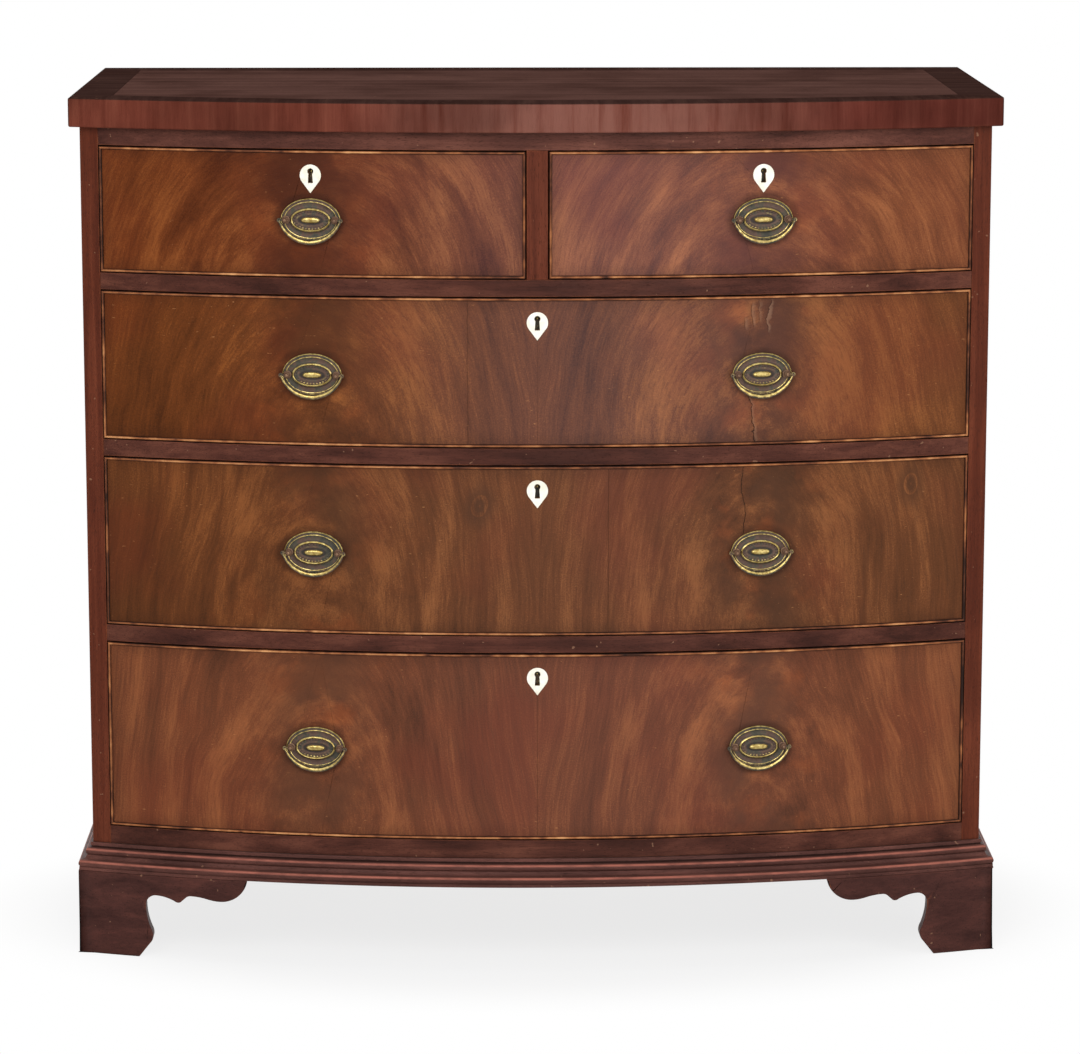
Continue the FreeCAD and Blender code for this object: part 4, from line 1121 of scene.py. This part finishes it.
    def bail(self, chance: random.Random) -> None:
        """Forge the bail: a crescent with an eye and a pin at each end.

        Args:
            chance: Source of the small bends that use has given it.
        """
        outer, outer_turn, outer_z = self._arc(self.bail_half_width, self.bail_drop)
        inner, inner_turn, inner_z = self._arc(self.bail_half_width - self.bail_end,
                                               self.bail_drop - self.bail_middle)
        bend = chance.uniform(-0.5, 0.5) * MM
        angles = np.linspace(0.0, math.tau, 16, endpoint=False)
        rows = []
        wear_and_light_rows = []
        for share in np.linspace(-1.0, 1.0, 49):
            far = Vector((outer * math.sin(share * outer_turn), 0.0,
                          outer_z - outer * math.cos(share * outer_turn)))
            near = Vector((inner * math.sin(share * inner_turn), 0.0,
                           inner_z - inner * math.cos(share * inner_turn)))
            middle = (far + near) / 2 + Vector((bend * (1 - share ** 2), 0.0, 0.0))
            across = (far - near) / 2
            deep = self.bail_thickness / 2 * (1.0 - 0.2 * share ** 2)
            rows.append([middle + across * math.cos(angle)
                         + Vector((0.0, -deep * math.sin(angle), 0.0)) for angle in angles])
            # painted highlight as well as wear: brightest along the upper front face of the bail,
            # less towards its ends
            wear_and_light_rows.append([0.34 + (0.6 - 0.4 * share ** 4)
                         * math.exp(-((angle - math.radians(112)) / 0.5) ** 2)
                         for angle in angles])
        shell = Shell()
        shell.skin(rows, wear_and_light_rows)
        eye_x = self.bail_half_width - self.bail_end / 2
        radius = self.eye_radius
        eye = [(0.3, 1.6, 0.2), (0.8, 1.6, 0.2), (1.0, 1.1, 0.3), (1.0, -1.1, 0.35),
               (0.8, -1.6, 0.45), (0.55, -1.55, 0.4), (0.4, -1.1, 0.0), (0.2, -1.05, 0.0)]
        for sign in (-1, 1):
            shell.turn([(radius * wide, y * MM, wear_and_light) for wide, y, wear_and_light in eye],
                       at=Vector((sign * eye_x, 0.0, 0.0)))
            ends = sorted((sign * eye_x, sign * (self.post_x - self.pin_reach)))
            pin = [[Vector((x, self.pin_radius * math.cos(angle),
                            self.pin_radius * math.sin(angle)))
                    for angle in np.linspace(0.0, math.tau, 12, endpoint=False)] for x in ends]
            shell.skin(pin, [0.4, 0.4])
        hinge = self.place @ Matrix.Translation((0.0, -self.post_stand, 0.0))
        name = f"{self.drawer}_bail{self.side}"
        shell.piece(f"{name}_bow", self.brass, f"bail_{self.drawer}{self.side}", name,
                    hinge)

    def _arc(self, half: float, drop: float) -> tuple[float, float, float]:
        """Arc through two ends and a lowest point.

        Args:
            half: Half the distance between the ends.
            drop: How far the lowest point lies below them.

        Returns:
            Its radius, half the angle that it spans and the height of its centre.
        """
        radius = (half ** 2 + drop ** 2) / (2 * drop)
        return radius, math.acos((radius - drop) / radius), radius - drop

    def make(self, chance: random.Random) -> None:
        """Make every piece of the handle."""
        self.plate()
        self.posts()
        self.bail(chance)


@dataclass
class Lock:
    """Lock case in the back of a drawer front, with its screws and key pin."""

    drawer: str
    brass: bpy.types.Material
    width: float = 62 * MM
    height: float = 44 * MM
    front_thickness: float = 22 * MM
    thickness: float = 12 * MM
    bolt_inset: float = 6 * MM
    bolt_thickness: float = 5 * MM
    bolt_width: float = 17 * MM
    bolt_play: float = 0.3 * MM
    screw_radius: float = 3.2 * MM
    pin_radius: float = 1.4 * MM
    pin_drop: float = 7.7 * MM

    def make(self) -> None:
        """Make the case round the channel of its bolt."""
        low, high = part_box(f"{self.drawer}_escutcheon")
        foot, top = (corner.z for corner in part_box(f"{self.drawer}_lock_bolt"))
        bolt_foot = foot - top - self.bolt_play
        place = on_bow((low.x + high.x) / 2, top)
        shell = Shell()
        back = self.front_thickness
        near = back - self.thickness
        half_channel = self.bolt_thickness / 2 + self.bolt_play
        channel_near = back - self.bolt_inset - half_channel
        channel_far = back - self.bolt_inset + half_channel
        half_bolt = self.bolt_width / 2 + self.bolt_play
        half = self.width / 2
        for x0, x1, y0, y1, z0 in (
                (-half, half, channel_far, back, -self.height),
                (-half, half, near, channel_near, -self.height),
                (-half, -half_bolt, channel_near, channel_far, -self.height),
                (half_bolt, half, channel_near, channel_far, -self.height),
                (-half_bolt, half_bolt, channel_near, channel_far, -self.height)):
            z1 = bolt_foot if x0 == -half_bolt else 0.0
            self._slab(shell, (x0, y0, z0), (x1, y1, z1))
        screw = [(self.screw_radius, back - 0.4 * MM, 0.4),
                 (self.screw_radius, back + 0.5 * MM, 0.8),
                 (self.screw_radius * 0.8, back + 0.9 * MM, 0.9), (0.3 * MM, back + 1.0 * MM, 0.9)]
        for x in (-0.8, 0.8):
            for z in (-0.2, -0.82):
                shell.turn(screw, at=Vector((x * half, 0.0, z * self.height)))
        pin = [(self.pin_radius, back - 1.0 * MM, 0.3), (self.pin_radius, 6.0 * MM, 0.4),
               (self.pin_radius * 0.6, 5.2 * MM, 0.6), (0.2 * MM, 5.0 * MM, 0.7)]
        shell.turn(pin, sides=12, at=Vector((0.0, 0.0, high.z - self.pin_drop - top)))
        shell.piece(f"{self.drawer}_lock_case", self.brass, f"drawer_{self.drawer}",
                    f"{self.drawer}_brassware", place)

    @staticmethod
    def _slab(shell: Shell, low: Sequence[float], high: Sequence[float]) -> None:
        """Add a flat-sided block between two corners."""
        rows = [[Vector((x, y, z)) for x, y in ((low[0], low[1]), (high[0], low[1]),
                                                (high[0], high[1]), (low[0], high[1]))]
                for z in (low[2], high[2])]
        shell.skin(rows, [0.35, 0.45], smooth=False)


# ---------------------------------------------------------------- drawers

@dataclass
class Beading:
    """Cock bead in four mitred lengths round a drawer front, worn and chipped."""

    drawer: str
    bead: bpy.types.Material
    width: float = 3.2 * MM
    proud: float = 2.4 * MM
    depth: float = 6.6 * MM
    station: float = 4.0 * MM
    chips_per_metre: float = 2.5
    most_lost: float = 1.4 * MM

    def section(self, lost: float) -> list[tuple[float, float]]:
        """Outline of the bead, as pairs of across and proud.

        Args:
            lost: How far its nose is worn down.

        Returns:
            The outline, with across running from minus to plus half its width.
        """
        half = self.width / 2
        rise = self.proud - half
        nose = [(half * math.sin(angle), rise + (half - lost) * math.cos(angle) - lost * 0.3)
                for angle in np.radians(np.linspace(-90, 90, 9))]
        return [(-half, -self.depth), *nose, (half, -self.depth)]

    def length(self, shell: Shell, start: tuple[float, float], end: tuple[float, float],
               chance: random.Random) -> None:
        """Stick one length of bead.

        Args:
            shell: Mesh that it goes in.
            start: X and Z of the outer corner where it starts.
            end: X and Z of the outer corner where it ends.
            chance: Source of its wear.
        """
        run = Vector((end[0] - start[0], end[1] - start[1]))
        span = run.length
        along = run / span
        inside = Vector((-along.y, along.x))
        count = max(2, round(span / self.station))
        chips = [(chance.uniform(0.0, span), chance.uniform(1.5, 7.0) * MM,
                  chance.uniform(0.5, 1.3) * MM)
                 for _ in range(round(self.chips_per_metre * span))]
        phase = chance.uniform(0.0, 100.0)
        nose = [0.1, *(0.1 + 0.9 * np.cos(np.radians(np.linspace(-90, 90, 9))) ** 2), 0.1]
        rows = []
        wear_and_light_rows = []
        for number in range(count + 1):
            at = span * number / count
            worn = 0.16 + 0.14 * math.sin(at * 31 + phase) + 0.1 * math.sin(at * 83 + 2 * phase)
            lost = max(0.0, worn) * MM
            for middle, reach, deep in chips:
                lost += deep * max(0.0, 1.0 - abs(at - middle) / reach)
            row = []
            for across, rise in self.section(min(lost, self.most_lost)):
                inset = self.width / 2 - across
                place = min(max(at, inset), span - inset)
                spot = Vector(start) + along * place + inside * inset
                row.append(on_bow(spot.x, spot.y, rise).translation)
            rows.append(row)
            worn_to = 0.8 - min(0.5, lost / MM * 0.35) + chance.uniform(-0.05, 0.05)
            worn_to -= 0.22 * abs(along.y)
            wear_and_light_rows.append([worn_to * share for share in nose])
        shell.skin(rows, wear_and_light_rows)

    def make(self, chance: random.Random) -> None:
        """Make the four lengths as one piece."""
        low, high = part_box(f"{self.drawer}_cock_bead")
        corners = [(low.x, low.z), (high.x, low.z), (high.x, high.z), (low.x, high.z)]
        shell = Shell()
        for start, end in zip(corners, corners[1:] + corners[:1]):
            self.length(shell, start, end, chance)
        shell.piece(f"{self.drawer}_beading", self.bead, f"drawer_{self.drawer}",
                    f"{self.drawer}_cock_bead")


@dataclass
class Drawer:
    """One drawer with its veneer, linings, bead, lock and handles."""

    name: str
    sides: tuple[str, ...]
    figure: dict

    def make(self, finishes: "Finishes", chance: random.Random) -> None:
        """Dress the drawer and make its fittings.

        Args:
            finishes: Finishes that the drawers share.
            chance: Source of its wear.
        """
        low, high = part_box(f"{self.name}_front")
        swings = [joint_of(f"{self.name}_bail{side}_swing")["pos_m"] for side in self.sides]
        veneer = FlameVeneer(f"flame veneer of {self.name}", low, high,
                             tuple(swing[0] for swing in swings), swings[0][2], **self.figure)
        ease(f"{self.name}_front", veneer.material(), 0.35 * MM, 2)
        ease(f"{self.name}_box", finishes.lining, 0.9 * MM)
        ease(f"{self.name}_bottom", finishes.bottom, 0.5 * MM, 2)
        ease(f"{self.name}_escutcheon", finishes.bone, 0.4 * MM, 2)
        ease(f"{self.name}_lock_bolt", finishes.iron, 0.5 * MM, 2)
        Beading(self.name, finishes.bead).make(chance)
        Lock(self.name, finishes.brass).make()
        for side in self.sides:
            Handle(self.name, side, finishes.brass, finishes.studs).make(chance)


@dataclass
class Finishes:
    """Finishes that several pieces share, built once."""

    lining: bpy.types.Material = field(init=False)
    bottom: bpy.types.Material = field(init=False)
    pine: bpy.types.Material = field(init=False)
    bone: bpy.types.Material = field(init=False)
    iron: bpy.types.Material = field(init=False)
    bead: bpy.types.Material = field(init=False)
    brass: bpy.types.Material = field(init=False)
    studs: bpy.types.Material = field(init=False)

    def __post_init__(self) -> None:
        """Build the finishes."""
        oak = (srgb(112, 80, 46), srgb(150, 112, 68), srgb(178, 140, 92))
        oak_grain = Grain(0.008, 0.5, 0.0018, 0.05, 0.0007, 0.012)
        self.lining = Timber("oak linings", Way.DEEP, *oak, grain=oak_grain,
                             roughness=0.7, gloss=0.2, relief=0.0002).material()
        self.bottom = Timber("oak bottoms", Way.ACROSS, *oak, grain=oak_grain,
                             roughness=0.75, gloss=0.2, relief=0.0002).material()
        self.pine = Timber("old pine", Way.DEEP, srgb(94, 62, 38), srgb(136, 98, 60),
                           srgb(168, 128, 84), PINE_GRAIN, roughness=0.75, gloss=0.2,
                           relief=0.0002).material()
        self.bone = PolishedBone("polished bone").material()
        self.iron = BlackedIron("blacked iron").material()
        self.bead = RubbedBead("rubbed bead").material()
        self.brass = OldBrass("old pressed brass").material()
        copper = (srgb(112, 82, 62), srgb(96, 68, 52))
        self.studs = OldBrass("brown brass studs", copper, copper,
                              (srgb(136, 104, 76), srgb(170, 136, 100))).material()


# ---------------------------------------------------------------- carcase

@dataclass
class BaseMoulding:
    """Base moulding: a bowed length in front and a straight return on each side, mitred."""

    front: bpy.types.Material
    side: bpy.types.Material
    node: str = "base_moulding"
    steps: int = 97

    def section(self) -> list[tuple[float, float, float]]:
        """Outline of the moulding.

        Returns:
            Each point: metres out from the carcase, metres up and how rubbed it is, with a painted
            highlight on the upper front of each round and painted shade in the quirks and low in
            the cove.
        """
        bend = 4.3

        def round_over(out: float, up: float, start: int, end: int,
                       worn: float) -> list[tuple[float, float, float]]:
            """Round of that bend about a centre, between two angles in degrees."""
            # painted highlight as well as wear: each round is lightest where it faces up and
            # forward, near 38 degrees
            return [(out + bend * math.cos(math.radians(turn)),
                     up + bend * math.sin(math.radians(turn)),
                     0.3 + (worn - 0.3) * math.exp(-((turn - 38) / 28) ** 2))
                    for turn in np.linspace(start, end, 13)]

        cove = [(11.6 + bend * math.cos(math.radians(turn)),
                 16.6 + bend * math.sin(math.radians(turn)), 0.22 + 0.2 * (266 - turn) / 78)
                for turn in np.linspace(266, 188, 8)]
        points = [(0.0, 0.0, 0.2), (15.4, 0.0, 0.25), (15.7, 0.3, 0.5), (15.7, 3.6, 0.35),
                  (15.4, 3.8, 0.12), *round_over(12.2, 7.7, -52, 96, 1.0), (11.4, 12.2, 0.1),
                  *cove, (7.1, 16.4, 0.3), *round_over(4.1, 20.7, -62, 96, 0.95),
                  (3.2, 25.2, 0.1), (1.9, 25.3, 0.05), (1.9, 26.6, 0.08), (2.7, 26.8, 0.3),
                  (2.9, 27.0, 0.45), (2.9, 30.6, 0.35), (2.6, 31.0, 0.55), (1.8, 31.0, 0.1),
                  (0.0, 31.0, 0.0)]
        return [(out * MM, up * MM, worn) for out, up, worn in points]

    def make(self) -> None:
        """Run the moulding along the front and both sides."""
        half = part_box("side_right")[1].x
        bow_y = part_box("bottom_rail")[0].y + BOW_RADIUS
        low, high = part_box(self.node)
        section = self.section()
        worn = [wear_and_light for _, _, wear_and_light in section]

        def on_front(share: float, out: float, up: float) -> Vector:
            """Place of a point of the outline, from the left end, -1, to the right end, 1."""
            x = share * (half + out)
            return Vector((x, bow_y - math.sqrt((BOW_RADIUS + out) ** 2 - x ** 2), low.z + up))

        shell = Shell()
        shell.skin([[on_front(share, out, up) for out, up, _ in section]
                    for share in np.linspace(-1.0, 1.0, self.steps)], [worn] * self.steps)
        shell.piece(f"{self.node}_front", self.front, "carcase", self.node)
        for side, sign in (("left", -1.0), ("right", 1.0)):
            near = [on_front(sign, out, up) for out, up, _ in section]
            far = [Vector((spot.x, high.y, spot.z)) for spot in near]
            shell = Shell()
            shell.skin([near, far], [worn, worn])
            shell.piece(f"{self.node}_{side}", self.side, "carcase", self.node)


@dataclass
class Carcase:
    """Top, sides, rails, back, base moulding and feet."""

    worn: Colour = srgb(150, 84, 52)
    stile: tuple[Colour, ...] = (srgb(66, 29, 19), srgb(91, 43, 28), srgb(112, 57, 38))
    rail: tuple[Colour, ...] = (srgb(56, 30, 24), srgb(79, 44, 35), srgb(102, 60, 47))
    frieze: tuple[Colour, ...] = (srgb(64, 36, 30), srgb(88, 52, 43), srgb(112, 69, 57))
    moulding: tuple[Colour, ...] = (srgb(62, 37, 33), srgb(86, 54, 48), srgb(108, 68, 60))
    foot: tuple[Colour, ...] = (srgb(54, 31, 28), srgb(74, 44, 39), srgb(92, 54, 47))

    def mahogany(self, name: str, way: Way, shades: tuple[Colour, ...],
                 **changes: object) -> bpy.types.Material:
        """Plain polished mahogany.

        Args:
            name: Name of the material.
            way: Way of the grain.
            shades: Its dark, middle and light colour.
            changes: What else differs from the plain timber.

        Returns:
            The material.
        """
        facts = {"worn": self.worn, "gloss": 0.06, "contrast": 1.4}
        return Timber(name, way, *shades, **(facts | changes)).material()

    def make(self, finishes: Finishes) -> None:
        """Dress every board of the carcase."""
        low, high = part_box("top_board")
        overhang = high.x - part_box("side_right")[1].x
        top = CrossbandedTop("crossbanded top", low, high, BOW_RADIUS + overhang)
        ease("top_board", top.material(), 2.2 * MM, 5)
        upright = self.mahogany("upright mahogany", Way.UP, self.stile)
        for name in ("side_left", "side_right", "drawer_divider"):
            ease(name, upright, 0.7 * MM)
        ease("frieze_rail", self.mahogany("frieze mahogany", Way.ACROSS, self.frieze, drift=1.6),
             0.5 * MM)
        level = self.mahogany("rail mahogany", Way.ACROSS, self.rail, drift=1.8)
        for name in ("upper_rail", "middle_rail", "lower_rail", "bottom_rail"):
            ease(name, level, 0.5 * MM)
        low_grain = Grain(0.016, 0.3, 0.0026, 0.08, 0.0007, 0.009)
        foot = self.mahogany("foot mahogany", Way.ACROSS, self.foot, grain=low_grain)
        for name in ("foot_front_left", "foot_front_right", "foot_back_left",
                     "foot_back_right"):
            ease(name, foot, 1.5 * MM)
        run = {"grain": low_grain, "painted_light_and_dust": True, "worn": None, "drift": 1.0}
        BaseMoulding(self.mahogany("front moulding", Way.ACROSS, self.moulding, **run),
                     self.mahogany("side moulding", Way.DEEP, self.foot, **run)).make()
        back = Timber("back boards", Way.UP, srgb(82, 54, 34), srgb(122, 86, 54),
                      srgb(156, 116, 76), PINE_GRAIN, roughness=0.8, gloss=0.2,
                      relief=0.0003).material()
        ease("back_boards", back, 0.8 * MM)
        ease("dust_boards", finishes.pine, 0.6 * MM)
        ease("drawer_runners", finishes.pine, 0.8 * MM)


# ---------------------------------------------------------------- studio

@dataclass
class Studio:
    """Pale floor, soft lamps and the camera."""

    viewpoint: Vector = field(default_factory=lambda: Vector((-0.058, -4.957, 1.366)))
    aim: Vector = field(default_factory=lambda: Vector((0.003, -0.257, 0.512)))
    middle: Vector = field(default_factory=lambda: Vector((0.0, 0.0, 0.5)))
    lens: float = 141.3
    floor_size: float = 40.0
    ambient: float = 0.42
    paleness: float = 0.79

    @staticmethod
    def point(name: str, data: bpy.types.ID, place: Vector, aim: Vector) -> bpy.types.Object:
        """Put a camera or a lamp in its place and point it at another."""
        made = bpy.data.objects.new(name, data)
        made.location = place
        made.rotation_euler = (aim - place).to_track_quat("-Z", "Y").to_euler()
        bpy.context.scene.collection.objects.link(made)
        return made

    def camera(self) -> None:
        """Set up the camera."""
        data = bpy.data.cameras.new("camera")
        data.lens = self.lens
        data.sensor_width = 36.0
        data.clip_end = 100.0
        bpy.context.scene.camera = self.point("camera", data, self.viewpoint, self.aim)

    def seen(self, graph_tree: bpy.types.NodeTree) -> Socket:
        """Whether a ray comes from the camera, a mirror or glass."""
        path = graph_tree.nodes.new("ShaderNodeLightPath")
        total = path.outputs["Is Camera Ray"]
        for word in ("Is Glossy Ray", "Is Transmission Ray"):
            most = graph_tree.nodes.new("ShaderNodeMath")
            most.operation = "MAXIMUM"
            graph_tree.links.new(total, most.inputs[0])
            graph_tree.links.new(path.outputs[word], most.inputs[1])
            total = most.outputs[0]
        return total

    def world(self) -> None:
        """White where it is seen, and a plain grey light."""
        world = bpy.data.worlds.new("studio")
        bpy.context.scene.world = world
        world.use_nodes = True
        tree = world.node_tree
        light = tree.nodes["Background"]
        light.inputs["Color"].default_value = (1.0, 1.0, 1.0, 1.0)
        light.inputs["Strength"].default_value = self.ambient
        white = tree.nodes.new("ShaderNodeBackground")
        white.inputs["Color"].default_value = (1.0, 1.0, 1.0, 1.0)
        white.inputs["Strength"].default_value = 1.0
        mix = tree.nodes.new("ShaderNodeMixShader")
        tree.links.new(self.seen(tree), mix.inputs[0])
        tree.links.new(light.outputs[0], mix.inputs[1])
        tree.links.new(white.outputs[0], mix.inputs[2])
        tree.links.new(mix.outputs[0], tree.nodes["World Output"].inputs["Surface"])

    def floor(self) -> None:
        """Pale floor that keeps the chest's shadow and fades to white away from it."""
        graph = Graph("pale floor")
        x, y, _ = graph.split(graph.place)
        away = ((x / 0.6).squared() + (y / 0.38).squared()).root().fade(0.8, 1.22)
        pale = self.paleness + away * (1.0 - self.paleness)
        graph.surface(srgb(236, 236, 236), 0.9, specular_ior_level=0.0)
        tree = graph.tree
        white = tree.nodes.new("ShaderNodeEmission")
        mix = tree.nodes.new("ShaderNodeMixShader")
        shown = Amount(graph, self.seen(tree)) * pale
        graph.feed(mix.inputs[0], shown)
        tree.links.new(graph.shader.outputs[0], mix.inputs[1])
        tree.links.new(white.outputs[0], mix.inputs[2])
        tree.links.new(mix.outputs[0], tree.nodes["Material Output"].inputs["Surface"])
        half = self.floor_size / 2
        data = bpy.data.meshes.new("floor")
        corners = [(-half, -half, 0.0), (half, -half, 0.0), (half, half, 0.0), (-half, half, 0.0)]
        data.from_pydata(corners, [], [(0, 1, 2, 3)])
        data.materials.append(graph.material)
        floor = bpy.data.objects.new("floor", data)
        floor.location.z = -0.2 * MM
        bpy.context.scene.collection.objects.link(floor)

    def lamp(self, name: str, place: Vector, width: float, height: float,
             watts: float) -> None:
        """Hang a soft lamp that points at the middle of the chest.

        Args:
            name: Name of the lamp.
            place: Where it hangs.
            width: Width of its face.
            height: Height of its face.
            watts: Its power.
        """
        data = bpy.data.lights.new(name, "AREA")
        data.shape = "RECTANGLE"
        data.size = width
        data.size_y = height
        data.energy = watts
        self.point(name, data, place, self.middle)

    def make(self) -> None:
        """Set up camera, floor and lamps."""
        self.camera()
        self.world()
        self.floor()
        for name, place, width, height, watts in (
                ("front lamp", (-0.9, -3.2, 2.6), 2.4, 1.6, 60.0),
                ("right lamp", (2.6, -2.2, 1.8), 1.6, 1.6, 26.0),
                ("sheen lamp", (0.75, -4.0, 0.55), 1.0, 0.9, 24.0),
                ("top lamp", (0.0, 0.3, 3.4), 2.6, 1.6, 34.0),
                ("back lamp", (-0.6, 3.2, 2.2), 2.4, 1.6, 30.0)):
            self.lamp(name, Vector(place), width, height, watts)
        bpy.context.scene.view_settings.view_transform = "Standard"


# ---------------------------------------------------------------- the whole chest

FIGURES = {
    "short_left": dict(
        root=0.725, lean=0.77, seed=1.3, contrast=1.8, shade=1.0,
        stops=((0.0, 0.4), (0.07, 0.4), (0.10, 0.52), (0.15, 0.5), (0.2, 0.42), (0.25, 0.54)),
        dark=srgb(76, 38, 21), mid=srgb(108, 60, 35), light=srgb(140, 85, 51),
        core=srgb(70, 36, 25)),
    "short_right": dict(
        root=0.725, lean=0.77, seed=5.1, contrast=1.6, painted_left_tint=0.0, painted_sheen=0.9,
        stops=((0.0, 0.36), (0.07, 0.4), (0.10, 0.52), (0.15, 0.5), (0.2, 0.55), (0.25, 0.55)),
        dark=srgb(82, 46, 30), mid=srgb(117, 67, 42), light=srgb(152, 93, 57),
        core=srgb(88, 47, 34)),
    "long_upper": dict(
        root=0.56, lean=0.6, seed=9.7, slant=0.3,
        stops=((0.0, 0.42), (0.06, 0.42), (0.09, 0.56), (0.14, 0.56), (0.19, 0.44), (0.25, 0.5)),
        dark=srgb(74, 42, 23), mid=srgb(108, 63, 35), light=srgb(146, 90, 49),
        core=srgb(78, 46, 29),
        cracks=(Crack(-0.078, wander=0.003, width=0.0005, depth=0.45),
                Crack(0.0, wander=0.0, width=0.0004, depth=0.2),
                Crack(0.241, foot=0.0, top=0.34, wander=0.014, lifted_highlight=0.14),
                Crack(0.233, foot=0.78, top=0.85, wander=0.008, depth=0.3, lifted_highlight=0.14),
                Crack(0.242, foot=0.8, top=0.95, wander=0.01, depth=0.4, lifted_highlight=0.16),
                Crack(0.25, foot=0.83, top=0.96, wander=0.012, depth=0.25, lifted_highlight=0.12),
                Crack(0.261, foot=0.76, top=0.97, wander=0.016, depth=0.45, lifted_highlight=0.22))),
    "long_middle": dict(
        root=0.37, lean=0.46, seed=14.2, painted_left_tint=0.6, painted_sheen=0.1, contrast=1.35,
        stops=((0.0, 0.48), (0.06, 0.47), (0.09, 0.56), (0.13, 0.52), (0.18, 0.48), (0.25, 0.5)),
        dark=srgb(70, 42, 25), mid=srgb(98, 58, 34), light=srgb(132, 82, 48),
        core=srgb(74, 47, 31),
        cracks=(Crack(0.08, wander=0.001, width=0.0005, depth=0.45),
                Crack(0.233, foot=0.5, wander=0.007)),
        knots=((-0.066, 0.537), (0.424, 0.552))),
    "long_lower": dict(
        root=0.13, lean=0.45, seed=20.9, contrast=1.3, painted_left_tint=0.15, painted_sheen=0.25,
        stops=((0.0, 0.42), (0.055, 0.42), (0.08, 0.58), (0.115, 0.55), (0.16, 0.48), (0.25, 0.5)),
        dark=srgb(78, 46, 31), mid=srgb(110, 63, 41), light=srgb(144, 87, 54),
        core=srgb(88, 55, 39),
        cracks=(Crack(0.0, wander=0.0, width=0.0005, depth=0.35),)),
}


def main() -> None:
    """Build the whole scene."""
    logging.basicConfig(level=logging.INFO, format="%(name)s: %(message)s")
    Studio().make()
    finishes = Finishes()
    Carcase().make(finishes)
    for number, (name, figure) in enumerate(FIGURES.items()):
        sides = ("",) if name.startswith("short") else ("_left", "_right")
        Drawer(name, sides, figure).make(finishes, random.Random(number))


if __name__ == "__main__":
    main()
